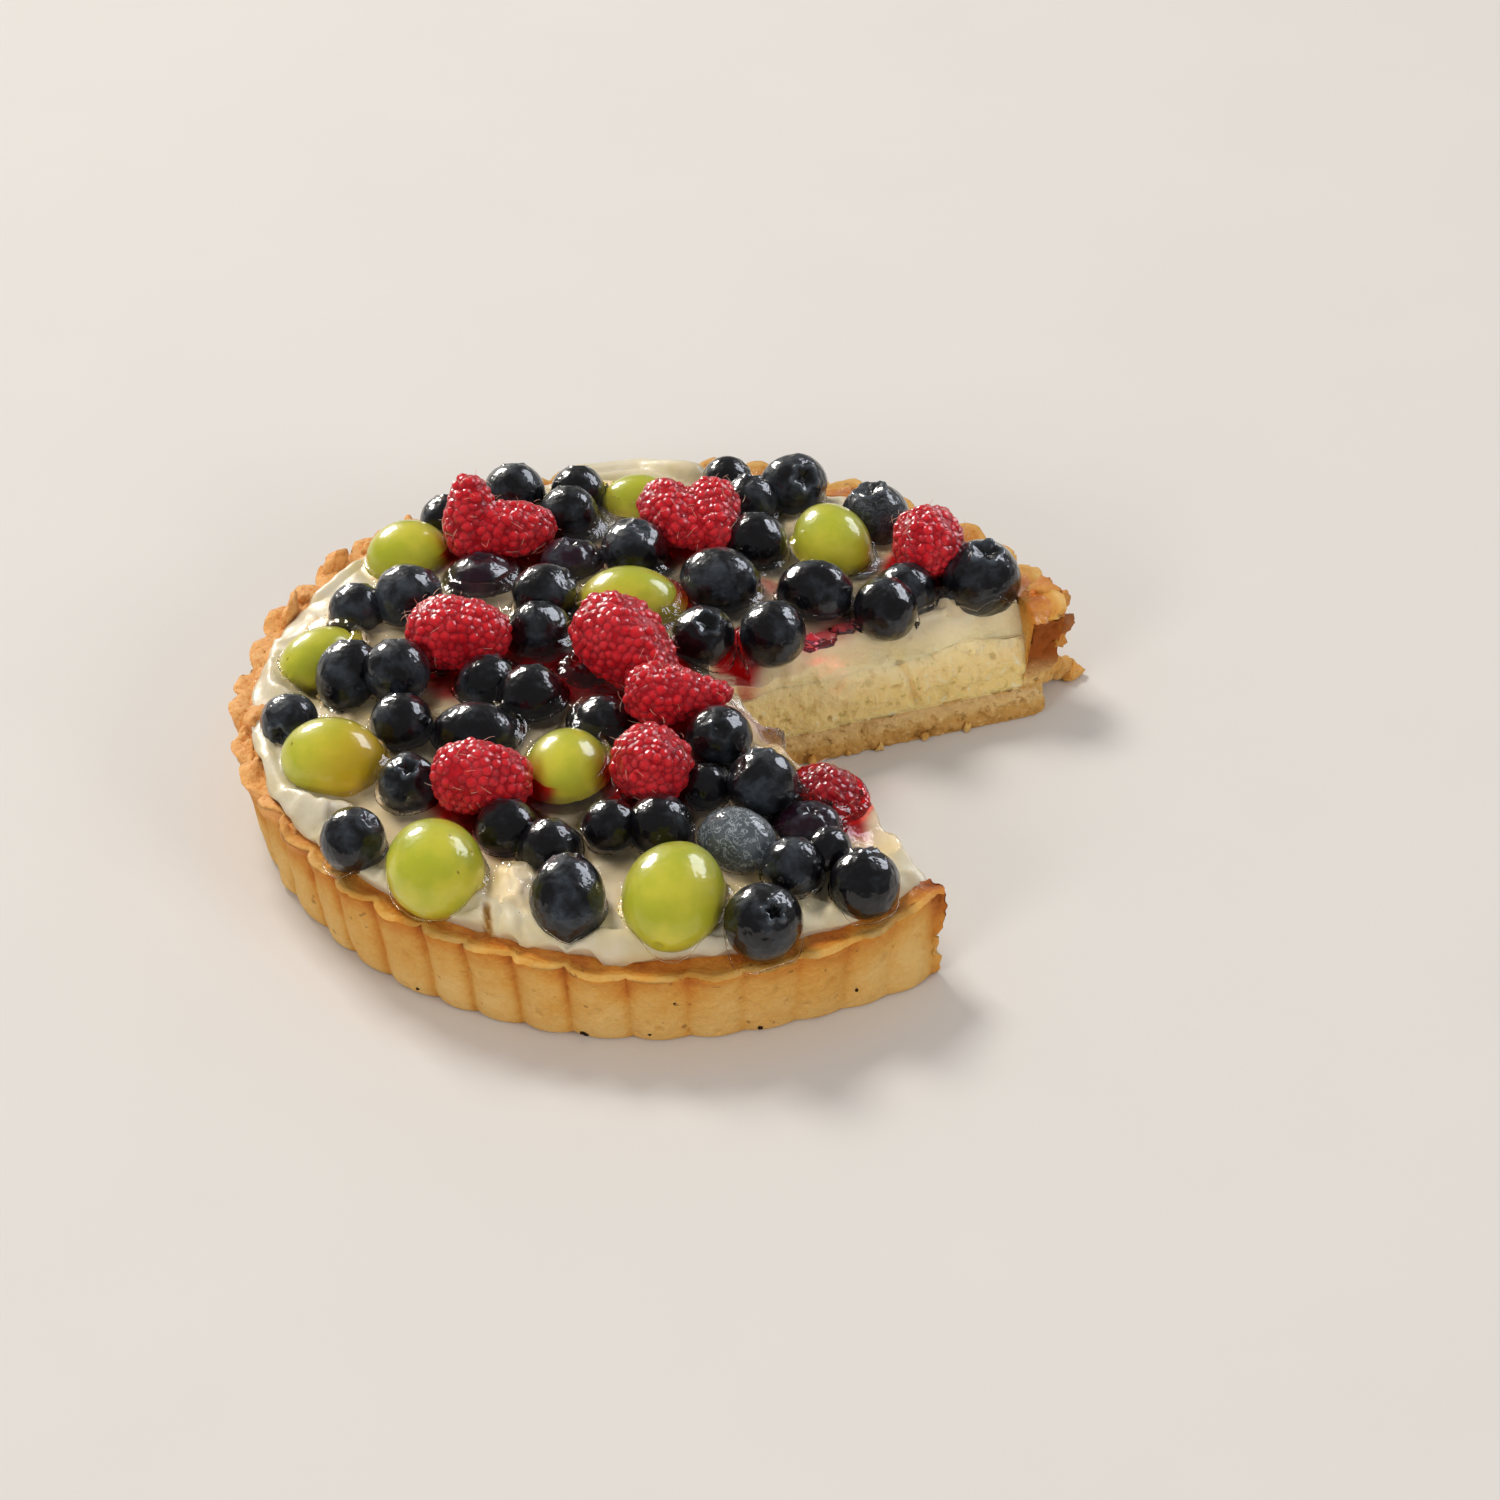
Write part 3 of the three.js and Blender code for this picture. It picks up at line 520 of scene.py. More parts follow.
crustLook = {
    "flutes": 50, "fluteDepth": 2.2, "footShare": 0.7, "wallTopInside": 90.6, "wallFootInside": 87.5,
    "base": 9.0, "flare": 0.9, "columns": 900, "wallRows": 30, "lowerBehind": 1.7,
    # the lip over the rim, by share of it: how far in, how far up
    "lip": {0.0: (0.1, 0.0), 0.25: (0.5, 0.3), 0.5: (1.1, 0.3), 0.75: (1.8, 0.0), 1.0: (2.5, -0.3)},
    "cupDepth": 0.9, "cupsInside": 0.6,
    "wallSwells": 0.55, "wallGrain": 0.28, "pits": 1.1, "crumbs": 0.8, "undercut": 2.4, "endBlocks": 1.5,
    "rimGrain": 0.45, "raggedBlocks": 1.7, "raggedGrain": 0.7, "raggedAside": 0.8,
    "coarseTear": {"depth": 1.0, "size": 7.0, "seed": 22, "octaves": 2},
    "fineTear": {"depth": 1.2, "size": 2.6, "seed": 21},
    # how brown it is in places, from 0 for pale to 1; in the grooves between the flutes it is painted shade
    "browns": {"foot": 0.08, "rim": 0.46, "grooves": 0.4, "uneven": 0.16, "lip": 0.44, "cup": 0.62,
               "ragged": 0.12, "nearCut": 0.3, "farEnd": 0.74},
    # lumps of broken crust: x, y, z, half sizes (out, along, up), how brown
    "lumps": [
        (92.6, 33.6, 24.2, 3.4, 2.6, 2.6, 0.42), (94.6, 32.6, 19.4, 2.8, 2.2, 3.0, 1.05),
        (90.6, 35.6, 27.0, 3.2, 3.2, 1.8, 0.5), (93.4, 32.0, 14.6, 2.0, 1.6, 2.6, 0.55),
        (92.6, 31.6, 10.4, 1.8, 1.6, 2.2, 0.3), (90.6, 33.6, 4.2, 3.6, 2.4, 3.6, 0.15),
        (95.4, 38.4, 2.4, 4.0, 3.2, 2.8, 0.2), (99.0, 37.8, 1.6, 2.6, 2.4, 1.8, 0.25),
        (93.0, 35.4, 5.0, 2.4, 2.0, 2.4, 0.3), (34.9, 3.9, 0.8, 0.9, 1.3, 0.9, 0.1),
        (43.4, 6.8, 0.7, 0.8, 1.0, 0.8, 0.15), (51.0, 9.2, 0.9, 1.0, 1.5, 1.0, 0.0),
        (61.5, 12.8, 0.7, 0.8, 1.1, 0.8, 0.1), (71.9, 16.2, 0.9, 1.0, 1.4, 1.0, 0.0),
        (-88.0, 33.4, 22.6, 1.6, 4.6, 5.0, 0.5), (-93.2, 15.6, 22.0, 1.6, 3.8, 3.6, 0.45),
        (-94.4, -2.6, 21.8, 1.5, 4.4, 3.6, 0.35), (-92.6, -20.4, 22.4, 1.6, 3.6, 3.4, 0.4),
        (-78.4, 53.2, 22.4, 1.6, 3.6, 3.8, 0.55),
    ],
    # burnt specks on the outside of the wall: degrees round, height and size
    "specks": [(260.4, 1.6, 0.9), (283.6, 1.4, 0.7), (236.0, 2.2, 0.5), (269.0, 3.0, 0.4),
               (297.0, 6.0, 0.45), (272.5, 13.0, 0.35)],
    # the outside from pale to brown, and the cut from its foot up
    "outside": [(0.0, "#e0b872"), (0.28, "#d6a150"), (0.5, "#cc8836"), (0.72, "#bb6c24"), (1.0, "#924b17")],
    "inside": [(0.0, "#c08f4a"), (0.28, "#cfa25c"), (0.42, "#dcb878"), (0.66, "#dab67e"),
               (0.76, "#c0904c"), (0.84, "#dcb878")],
    "tones": {"insideSpeck": "#a87339", "burnt": "#2b190c", "pit": "#7a4a20", "hole": "#a06e36",
              "crumb": "#ecd09a", "dryDark": "#d9863f", "dryPale": "#f8bb76"},
    # size in millimetres, detail, roughness and distortion of each grain
    "grains": {"blotch": (7, 4, 0.55, 0), "speck": (1.1, 3, 0.7, 0), "layer": (5, 3, 0.55, 0),
               "pit": (2.6, 2, 0.4, 0), "hole": (2.4, 3, 0.6, 0), "crumb": (1.5, 4, 0.75, 0),
               "wetPatch": (9, 2, 0.55, 0), "rough": (2.4, 5, 0.65, 0)},
}


def rimOfSolid():
    # angle, radius and height of the solid's rim and foot, one reading for each of its columns
    points = nodePoints("crust")
    radius, angle = np.hypot(points[:, 0], points[:, 1]), np.arctan2(points[:, 1], points[:, 0])
    step = 2 * math.pi / (crustLook["flutes"] * 4)
    column = np.round(angle / step).astype(int)
    onColumn = np.abs(angle - column * step) < 0.02 * step
    rim, foot = {}, {}
    for k in np.unique(column[onColumn]):
        mine = onColumn & (column == k)
        high = mine & (points[:, 2] > 18) & (radius > 92)
        low = mine & (points[:, 2] < 0.1) & (radius > 88)
        if high.any():
            best = np.flatnonzero(high)[np.argmax(radius[high])]
            rim[k] = (radius[best], points[best, 2])
        if low.any():
            foot[k] = radius[low].max()
    crests = [k for k in rim if k % 4 == 2 and k in foot]
    turns = np.array(sorted(k * step for k in crests))
    order = sorted(crests)
    return {"crestTurns": turns, "rimRadius": np.array([rim[k][0] for k in order]),
            "footRadius": np.array([foot[k] for k in order]),
            "heightTurns": np.array(sorted(k * step for k in rim)),
            "height": np.array([rim[k][1] for k in sorted(rim)])}


rimRead = rimOfSolid()


def around(angles, turns, values):
    # reads values given at turns, the whole way round
    return np.interp(angles, turns, values, period=2 * math.pi)


def bulge(angles):
    # 0 on a flute's crest, -1 in the groove between two; deepest on the left and soft to the right
    turned = np.degrees(angles) % 360
    soft = smoothStep((turned - 258) / 30)
    plane = np.c_[np.cos(angles) * 97, np.sin(angles) * 97, 0 * angles]
    warped = angles + 0.018 * swells(plane, 15, 33)
    groove = 1 - np.abs(np.sin(warped * crustLook["flutes"] / 2)) ** (0.65 + 0.35 * soft)
    return -groove * (1 - 0.35 * soft + 0.22 * swells(plane, 10, 34))


def rimHeight(angles):
    # the solid's height, a little lower behind, where fruit hides it in the view from the front
    turned = np.degrees(angles) % 360
    behind = smoothStep((turned - 28) / 14) * smoothStep((118 - turned) / 16)
    return around(angles, rimRead["heightTurns"], rimRead["height"]) - crustLook["lowerBehind"] * behind


def raggedness(angles):
    # the left side's rim is broken and crumbly
    turned = np.degrees(angles) % 360
    return smoothStep((turned - 118) / 25) * smoothStep((225 - turned) / 25)


def crustRow(turns, row):
    # points of one row, which is given by its kind and its share of the way over that kind
    kind, share = row
    look = crustLook
    edge = outTo(look["wallFootInside"], turns)
    if kind in ("bottom", "floor"):
        height = 0.0 if kind == "bottom" else look["base"]
        flat = tip + (edge - tip) * share
        return np.c_[flat, np.full(len(turns), height)]
    guess = outTo(95.0, turns)
    angles = np.arctan2(guess[:, 1], guess[:, 0])
    swell = bulge(angles) * look["fluteDepth"]
    crest = 1 + swell / look["fluteDepth"]
    rim = around(angles, rimRead["crestTurns"], rimRead["rimRadius"]) + swell
    foot = around(angles, rimRead["crestTurns"], rimRead["footRadius"]) + swell * look["footShare"]
    top = rimHeight(angles)
    whole = 1 - 0.85 * raggedness(angles)  # the cups are filled in where the rim is broken
    level = top + 1.1 * whole
    if kind == "wall":
        radius = foot + (rim - foot) * share - 0.9 * np.exp(-share * 24 / 0.9)
        radius = radius + look["flare"] * smoothStep((share - 0.8) / 0.2) * crest
        height = top * share
    elif kind == "lip":
        inwards, lift = look["lip"][share]
        radius = rim - inwards + look["flare"] * crest * (1 - share)
        height = top + (lift if lift > 0 else lift * (0.35 + 0.75 * crest) * whole)
    elif kind == "cup":
        start = rim - look["lip"][1.0][0]
        radius = start + (look["wallTopInside"] - look["cupsInside"] - start) * share
        low = top - 0.3 * (0.35 + 0.75 * crest) * whole
        height = low + (level - look["cupDepth"] - low) * share
        height = height - 0.35 * crest * np.sin(math.pi * share) * whole
    else:  # inner wall
        upper, start = look["wallTopInside"] - look["cupsInside"], level - look["cupDepth"]
        radius = upper + (look["wallFootInside"] - upper) * share
        height = start + (look["base"] - start) * share
    flat = outTo(radius, turns)
    return np.c_[flat, height]


def crustSurface():
    # the whole skin of the crust, before it is roughened, with the kind and share of each point
    turns = planTurns(crustLook["columns"])
    rows = [("bottom", 0.0), ("bottom", 0.5), ("bottom", 1.0)]
    rows += [("wall", s) for s in np.linspace(0, 1, crustLook["wallRows"]) ** 1.15]
    rows += [("lip", s) for s in crustLook["lip"]]
    rows += [("cup", s) for s in np.linspace(0.14, 1, 9)]
    rows += [("inner", s) for s in (0.33, 0.66, 1.0)]
    rows += [("floor", 0.5), ("floor", 0.0)]
    body = np.vstack([crustRow(turns, row) for row in rows])
    count = len(turns)
    kinds = np.repeat([row[0] for row in rows], count)
    shares = np.repeat([float(row[1]) for row in rows], count)
    parts = [(body, gridFaces(len(rows), count)[:, ::-1], {"kind": kinds, "share": shares})]
    # the cut faces: the base, then the wall that stands on its slanting end
    for turn, flip in ((turns[:1], False), (turns[-1:], True)):
        across, upwards = 230, 26
        steps, levels = np.linspace(0, 1, across), np.linspace(0, 1, upwards)
        inner = crustRow(turn, ("floor", 1.0))[0]
        foot = crustRow(turn, ("wall", 0.0))[0]
        base = []
        for level in levels:
            end = foot + (inner - foot) * level
            start = np.array([*tip, crustLook["base"] * level])
            base.append(start + (end - start) * steps[:, None])
        outer = np.vstack([crustRow(turn, ("wall", s))[0] for s in np.linspace(0, 1, 40)])
        inward = np.vstack([crustRow(turn, ("inner", 1 - s))[0] for s in np.linspace(0, 1, 40)])
        wall = [inward + (outer - inward) * s for s in np.linspace(0, 1, 16)]
        for block, width, inwards in ((np.vstack(base), across, flip), (np.vstack(wall), 40, not flip)):
            faces = gridFaces(len(block) // width, width)
            labels = {"kind": np.full(len(block), "cut"), "share": np.zeros(len(block))}
            parts.append((block, faces if inwards else faces[:, ::-1], labels))
    return joinParts(parts)


def lumpPart(centre, halves, turn, seed):
    # a broken lump, flat faced and crumbly: half sizes out from the tart's centre, along its edge and up
    ball, faces = ballPart(16, 24, 180)
    random = np.random.default_rng(seed)
    breaks = random.normal(size=(13, 3))
    breaks /= np.linalg.norm(breaks, axis=1)[:, None] * random.uniform(0.68, 1.0, (13, 1))
    reach = (np.maximum(ball @ breaks.T, 0) ** 24).sum(1) ** (-1 / 24)
    shape = ball * np.minimum(reach, 1.5)[:, None] * np.asarray(halves)
    size = float(np.mean(halves))
    uneven = swells(shape, size * 0.8, seed) + 0.8 * swells(shape, size * 0.35, seed + 1)
    shape *= (1 + 0.15 * uneven)[:, None]
    c, s = math.cos(turn), math.sin(turn)
    shape = np.c_[shape[:, 0] * c - shape[:, 1] * s, shape[:, 0] * s + shape[:, 1] * c, shape[:, 2]]
    return np.asarray(centre) + shape, faces


def raggedLumps():
    # up to three lumps on each flute's tip where the rim is broken
    random = np.random.default_rng(5)
    found = []
    for step in range(crustLook["flutes"]):
        angle = 2 * math.pi * (step + 0.5) / crustLook["flutes"]
        ragged = float(raggedness(np.array([angle]))[0])
        for _ in range(3):
            shift, up = random.uniform(-0.09, 0.09), random.uniform(-2.4, 1.1)
            big, brown = random.uniform(0.45, 1.3), random.uniform(0.2, 0.7)
            if ragged > 0.4 and random.uniform() > 0.22:
                rim = float(around(np.array([angle]), rimRead["crestTurns"], rimRead["rimRadius"])[0])
                reach = rim - 3.4 * big - random.uniform(0, 0.7)
                where = (reach * math.cos(angle + shift), reach * math.sin(angle + shift))
                top = float(rimHeight(np.array([angle]))[0])
                found.append((*where, top - 2.2 * big + up, 2.9 * big, 3.9 * big, 3.2 * big, brown))
    return found


def makeCrust(material):
    points, faces, labels = crustSurface()
    kind, share = labels["kind"], labels["share"]
    angles = np.arctan2(points[:, 1], points[:, 0])
    radius = np.hypot(points[:, 0], points[:, 1])
    top = rimHeight(angles)
    crest = 1 + bulge(angles)
    outward = np.c_[points[:, :2] / np.maximum(radius, 1)[:, None], np.zeros(len(points))]
    ragged = raggedness(angles)

    # uneven wall, pits and crumbs
    wall = (kind == "wall") * 1.0
    lip = (kind == "lip") * 1.0
    cup = (kind == "cup") * 1.0
    relief = crustLook["wallSwells"] * swells(points, 11, 3)
    relief = relief + crustLook["wallGrain"] * roughness(points, 3.2, 3, 5)
    pits = -crustLook["pits"] * smoothStep((swells(points, 2.1, 9) - 0.62) / 0.3)
    fade = smoothStep(points[:, 2] / 1.5)
    points = points + outward * ((wall + lip * 0.6) * fade * (relief + pits * 0.7))[:, None]
    rough = roughness(points, 4.2, 3, 12)
    blocky = np.round(swells(points, 5.5, 14) * 2.2) / 2.2
    lift = (lip + cup * 0.5 + wall * smoothStep((share - 0.86) / 0.14))
    broken = crustLook["raggedBlocks"] * blocky + crustLook["raggedGrain"] * rough
    points[:, 2] += lift * (crustLook["rimGrain"] * rough + ragged * broken)
    points += outward * (lift * ragged * crustLook["raggedAside"] * swells(points, 4.0, 17))[:, None]
    # the far end of the wall is torn, and undercut above its foot
    farBehind, _, farAlong = behindCuts(points)[0]
    atEnd = smoothStep(1 - np.abs(farBehind) / 6) * (radius > 86) * (farAlong > 0)
    bite = -crustLook["undercut"] * np.exp(-((points[:, 2] - 8.5) / 3.2) ** 2)
    bite = bite + crustLook["endBlocks"] * roughness(points, 4.5, 3, 19)
    bitten = wall + lip + (kind == "cut") * smoothStep((radius - 88) / 4)
    points += outward * (atEnd * bite * bitten)[:, None]
    crumb = smoothStep((swells(points, 1.9, 24) - 0.25) / 0.4)
    points = tear(points, **crustLook["fineTear"])
    points = tear(points, **crustLook["coarseTear"])
    for behind, outwards, along in behindCuts(points):
        onFace = (np.abs(behind) < 1.6) * (along > 0)
        points = points - outwards * (crumb * onFace * crustLook["crumbs"])[:, None]
    points[:, 2] = np.where(kind == "bottom", 0, np.maximum(points[:, 2], 0))

    # how brown: pale at the foot, browner to the rim, brownest in the cups
    high = np.clip(points[:, 2] / np.maximum(top, 1), 0, 1)
    browns = crustLook["browns"]
    # grooves: painted shade, darker in the creases between the flutes
    brown = browns["foot"] + browns["rim"] * high ** 2.6 + browns["grooves"] * (1 - crest) ** 2
    brown = brown + browns["uneven"] * roughness(points, 16, 2, 31)
    brown = np.where(kind == "lip", browns["lip"] + 0.2 * rough - 0.2 * (share < 0.6), brown)
    brown = np.where(kind == "cup", browns["cup"] + 0.25 * rough, brown)
    brown = brown + browns["ragged"] * ragged * (high > 0.6)
    brown = brown + browns["nearCut"] * smoothStep(1 - np.abs(behindCuts(points)[1][0]) / 9) * (radius > 88)
    cutFace = (kind == "cut") * 1.0
    # the wall's cut end is browner to the top, where glaze has run down it
    endWall = cutFace * smoothStep((radius - 86.5) / 2) * smoothStep((points[:, 2] - 8) / 10)
    brown = np.where(endWall > 0.3, browns["farEnd"] + 0.5 * endWall, brown)
    parts = [(points, faces, {"brown": brown, "cup": cup * (1 - 0.8 * ragged),
                              "cutFace": cutFace * (1 - endWall),
                              "dry": ragged * smoothStep((high - 0.84) / 0.12)})]
    for step, (x, y, z, *halves, tone) in enumerate(crustLook["lumps"] + raggedLumps()):
        lump, lumpFaces = lumpPart((x, y, z), halves, math.atan2(y, x), 200 + 3 * step)
        lump = lump + (roughness(lump, 2.0, 3, 7) * 0.85)[:, None] * (lump - (x, y, z)) / max(halves)
        lump[:, 2] = np.maximum(lump[:, 2], 0.05)
        none = np.zeros(len(lump))
        dry = 1.0 if x < 0 else 0.2 * (x > 85)  # the left's are dry, the far end's a little
        lumpBrown = tone + 0.12 * swells(lump, 3, 9) + 0.1 * (lump[:, 2] - z) / halves[2]
        parts.append((lump, lumpFaces, {"brown": lumpBrown, "cup": none, "cutFace": none, "dry": none + dry}))
    outside = points[kind == "wall"]
    for step, (degrees, height, size) in enumerate(crustLook["specks"]):
        turn = math.radians(degrees)
        aside = np.arctan2(outside[:, 1], outside[:, 0]) - turn + 2 * math.pi * (degrees > 180)
        place = outside[np.argmin(aside ** 2 + ((outside[:, 2] - height) / 95) ** 2)]
        speck, speckFaces = lumpPart(place, (size * 0.6, size, size * 0.8), turn, 400 + step)
        none = np.zeros(len(speck))
        parts.append((speck, speckFaces, {"brown": none + 3.0, "cup": none, "cutFace": none, "dry": none}))
    points, faces, labels = joinParts(parts)
    makePiece("crustShell", points, faces, material, labels, ["crust"])
    print("crust:", len(points), "points")


def shortcrust():
    # shortcrust pastry, baked in a fluted tin: matt and crumbly, golden where it is thin, glazed in the cups
    tones = crustLook["tones"]
    material, tree, look = newMaterial("bakedShortcrust", crustLook["grains"],
                                       ("height", "brown", "cutFace", "dry", "cup"))
    holes = strengthOf(tree, 1.0, (look["hole"], 0.6, 0.74))
    baked = sumOf(tree, -0.425, (look["brown"], 1.0), (look["blotch"], 0.5), (look["speck"], 0.35))
    layer = sumOf(tree, -1 / 12, (look["height"], 1 / (12 * mm)), (look["layer"], 2 / 12))  # foot to 12 mm up
    outside = addNode(tree, "ValToRGB", {"Fac": baked}, stops=crustLook["outside"])
    inside = addNode(tree, "ValToRGB", {"Fac": layer}, stops=crustLook["inside"])
    inside = painted(tree, inside, (tones["insideSpeck"], 1.0, (look["speck"], 0.55, 0.75)))
    dry = painted(tree, tones["dryDark"], (tones["dryPale"], 1.0, (look["crumb"], 0.3, 0.55)))
    shade = painted(
        tree, outside,
        (inside, 1.0, look["cutFace"]),
        (tones["burnt"], 1.0, (look["brown"], 1.6, 2.4)),
        (tones["pit"], 0.55, (look["pit"], 0.69, 0.76)),
        # painted shade: the holes in the cut base are painted darker where the bump sinks them
        (tones["hole"], 0.45, holes, look["cutFace"]),  # the base is crumbly where it is cut
        (tones["crumb"], 0.6, (look["speck"], 0.44, 0.3), look["cutFace"]),
        (dry, 0.85, look["dry"]))  # where the rim is broken it is dry, paler and full of crumbs
    glazed = strengthOf(tree, 1.0, look["cup"], (look["wetPatch"], 0.35, 0.6))
    surface = addNode(tree, "BsdfPrincipled", {
        "Base Color": shade, "Roughness": 0.75, "IOR": 1.45, "Specular IOR Level": 0.25,
        "Subsurface Weight": 0.12, "Subsurface Radius": (1.0, 0.55, 0.25), "Subsurface Scale": 1.5 * mm,
        "Coat Weight": glazed, "Coat Roughness": 0.12, "Coat IOR": 1.4})
    finishMaterial(tree, surface, [(look["rough"], 0.55), (look["speck"], 0.32),
                                   (look["crumb"], 0.22, look["dry"]), (holes, -0.6, look["cutFace"])])
    return material


creamLook = {
    "mound": 31.5, "edge": 26.5, "roundFrom": 81.0, "outer": 90.2, "inside": 90.6,
    "columns": 560, "rings": 112, "cutRows": 22,
    "pushedUp": 1.3, "ridges": 0.7, "ridgeSize": 7, "tornUpper": 2.4, "farEdge": 2.2, "nearEdge": 2.4,
    # folds and peaks, as in the solid: x, y, half length, half width, height, degrees
    "folds": [
        (-83, -30, 11, 4.5, 3.2, 112), (-87, -8, 7, 4, 2.4, 98), (-74, -47, 7, 5, 2.0, 140),
        (-47, -62, 8, 5, 1.8, 60), (-37, -80, 5, 4, 2.6, 80), (-29, -86, 7, 3, 2.2, 150),
        (4, -90, 12, 3.5, 1.8, 178), (34, -86, 8, 4, 1.2, 20), (-12, 84, 20, 4, 3.4, 6),
        (-66, 56, 9, 4, 2.2, 48), (79, 26, 6, 6, 4.0, 20), (64, 23, 5, 5, 1.6, 20),
        (41, 17, 5, 6, 1.4, 20), (20, 2, 9, 6, -3.0, 20), (27, -24, 16, 8, -3.5, -54),
        (-79, 2.5, 7.0, 5.0, -4.2, 95),
    ],
    # ribbons and rolls that the palette knife left: points in plan, half width, height
    "ribbons": [
        (((-67, -61), (-62.7, -66.6), (-51.5, -79), (-41.5, -84.2), (-36.5, -86)), 3.6, 2.0),
        (((-31.8, -71), (-29.8, -80), (-31, -87.5)), 2.4, 2.2),
        (((-28.3, -72), (-25.3, -82.5), (-21, -88.5)), 2.8, 2.8),
        (((-26, -90), (-20, -91.6), (-14, -92.4)), 1.7, 1.5),
        (((-16, -91), (-10.7, -88.7), (-3, -90.6), (9.6, -91.8), (20, -90)), 2.3, 2.2),
        (((-89, -17), (-88.5, -28), (-83.5, -40), (-74.5, -49.5), (-69, -46.5)), 2.9, 2.6),
        (((-90, 9), (-88, -2), (-83, -9)), 2.6, 2.2),
        (((-24, 88), (-6.3, 91.2), (7, 86)), 3.4, 2.6), (((-70, 57), (-76, 48), (-82, 38)), 2.6, 1.8),
        (((61, 33), (66.3, 29.2), (71.5, 26.6)), 2.2, 3.2), (((77, 26.5), (84, 25.2)), 2.4, 2.6),
        (((38, -82), (48, -76), (54, -69)), 2.6, 1.6), (((2, -74), (12, -80), (22, -79)), 3.2, 1.4),
    ],
    "crack": ((-35.6, -80.5), (-35.2, -83.5), (-34.6, -86.8)), "crackDepth": 2.6,
    "lapFront": 2.3, "lapLeft": 1.7, "lapBehind": 5.6,  # how far it laps over the crust
    # juice that has run away from the raspberries: x, y, reach, strength
    "juice": [
        (17, 5.5, 9, 0.95), (41, 15.5, 7, 0.5), (-26, -1, 8, 1.0), (-18.4, -9, 8, 1.0), (2.5, 24, 8, 0.7),
        (24, 31, 6, 0.5), (-48, -5, 7, 0.6), (-39, -55, 7, 0.8), (-33, -61, 7, 0.5), (-17, 45, 8, 0.6),
        (-5, 47, 7, 0.5), (41.5, -55.5, 5, 0.6), (-66, 65, 9, 0.5), (33, -33, 8, 0.4), (36, 12.5, 6, 0.36),
    ],
    # shaded is a painted shade between the fruit
    "tones": {"cream": "#ece2c9", "yellower": "#e1d1a3", "shaded": "#3a2f18", "crack": "#a9782c",
              "juice": "#b9202a", "deepJuice": "#450a10"},
    # size in millimetres, detail, roughness and distortion of each grain
    "grains": {"blotch": (14, 3, 0.55, 0)},
}
custardLook = {"top": 20.5, "atCut": 1.2, "shoulder": 16.0, "bottom": 9.3, "radii": (87.7, 89.8),
               "columns": 120, "rings": 230, "cutRows": 30, "holes": 0.8, "holeTone": "#b3984c"}
# what the cream and the custard share
fillingLook = {
    "torn": {"depth": 2.2, "size": 10.5, "seed": 51, "octaves": 5, "calmFoot": True},
    # how far the far cut leans back 10.5 mm above the height where it starts, along it from the tip
    "lean": {"from": 13.0, "span": 10.5, "fades": 14.0,
             "along": [0, 15, 30, 45, 60, 70, 80, 90], "back": [1.2, 2.0, 4.0, 6.0, 8.0, 6.5, 5.5, 3.0]},
    # a crease down the far cut where two torn lumps of it meet: along it and height, from the foot up
    "crease": [(50.0, 10.5), (47.2, 20.0), (45.2, 26.0)],
    "cut": [(0.0, "#f8d98f"), (0.3, "#f9dd9f"), (0.6, "#fae2ae"), (1.0, "#f8e4ba")],  # from the foot up
    # pit is a painted shade in the sunken curds, lump a painted highlight on the raised ones
    "pit": "#ccb364", "lump": "#f9e9c0",
    "paler": (12, 30), "drifts": 16, "curdDepth": 1.4,  # heights between which it turns pale, how unevenly
    # size in millimetres, detail, roughness and distortion of each grain
    "grains": {"soft": (5, 4, 0.55, 0), "curd": (2.1, 5, 0.66, 0), "drift": (12, 4, 0.55, 0)},
    "surface": {"Roughness": 0.5, "IOR": 1.45, "Subsurface Weight": 0.4, "Subsurface Radius": (1.0, 0.7, 0.4),
                "Subsurface Scale": 2 * mm},
}


def unevenness(x, y, size, phase):
    # slow waves between -1 and 1, the same as the solids have
    a = np.sin((x * 0.94 + y * 0.34) * 6.28 / size + phase)
    b = np.sin((y * 0.91 - x * 0.42) * 5.1 / size + 2.3 * phase)
    c = np.sin((x - y) * 3.7 / size + 4.1 * phase)
    return (a + b + c) / 3


def creamLevel(x, y):
    # the height of the solid's upper surface
    look = creamLook
    mound = smoothStep(1.25 - np.hypot(x, y) / look["inside"] * 1.25)
    height = look["edge"] + (look["mound"] - look["edge"]) * mound + 0.5 * unevenness(x, y, 34, 1)
    for foldX, foldY, halfLength, halfWidth, rise, turn in look["folds"]:
        c, s = math.cos(math.radians(turn)), math.sin(math.radians(turn))
        along, aside = (x - foldX) * c + (y - foldY) * s, (y - foldY) * c - (x - foldX) * s
        height = height + rise * np.exp(-(along / halfLength) ** 2 - (aside / halfWidth) ** 2)
    return height


def awayFromLine(x, y, line):
    # distance in plan from points to a line of several straight lengths
    best = np.full(len(x), 1e9)
    for (startX, startY), (endX, endY) in zip(line[:-1], line[1:]):
        wayX, wayY = endX - startX, endY - startY
        share = np.clip(((x - startX) * wayX + (y - startY) * wayY) / (wayX ** 2 + wayY ** 2), 0, 1)
        best = np.minimum(best, np.hypot(x - startX - share * wayX, y - startY - share * wayY))
    return best


def lap(angles):
    # how far the cream laps over the crust: along the left and the front, and in a broad stroke behind
    turned = np.degrees(angles) % 360
    front = smoothStep((turned - 150) / 14) * smoothStep((312 - turned) / 14)
    left = smoothStep((turned - 172) / 10) * smoothStep((222 - turned) / 12)
    behind = smoothStep((turned - 80) / 8) * smoothStep((110 - turned) / 8)
    return creamLook["lapFront"] * front + creamLook["lapLeft"] * left + creamLook["lapBehind"] * behind


def swoosh(x, y):
    # 1 on the smooth broad stroke of cream behind, which bears no glaze
    turned = np.degrees(np.arctan2(y, x)) % 360
    across = smoothStep((turned - 76) / 8) * smoothStep((112 - turned) / 8)
    return across * smoothStep((np.hypot(x, y) - 76) / 5)


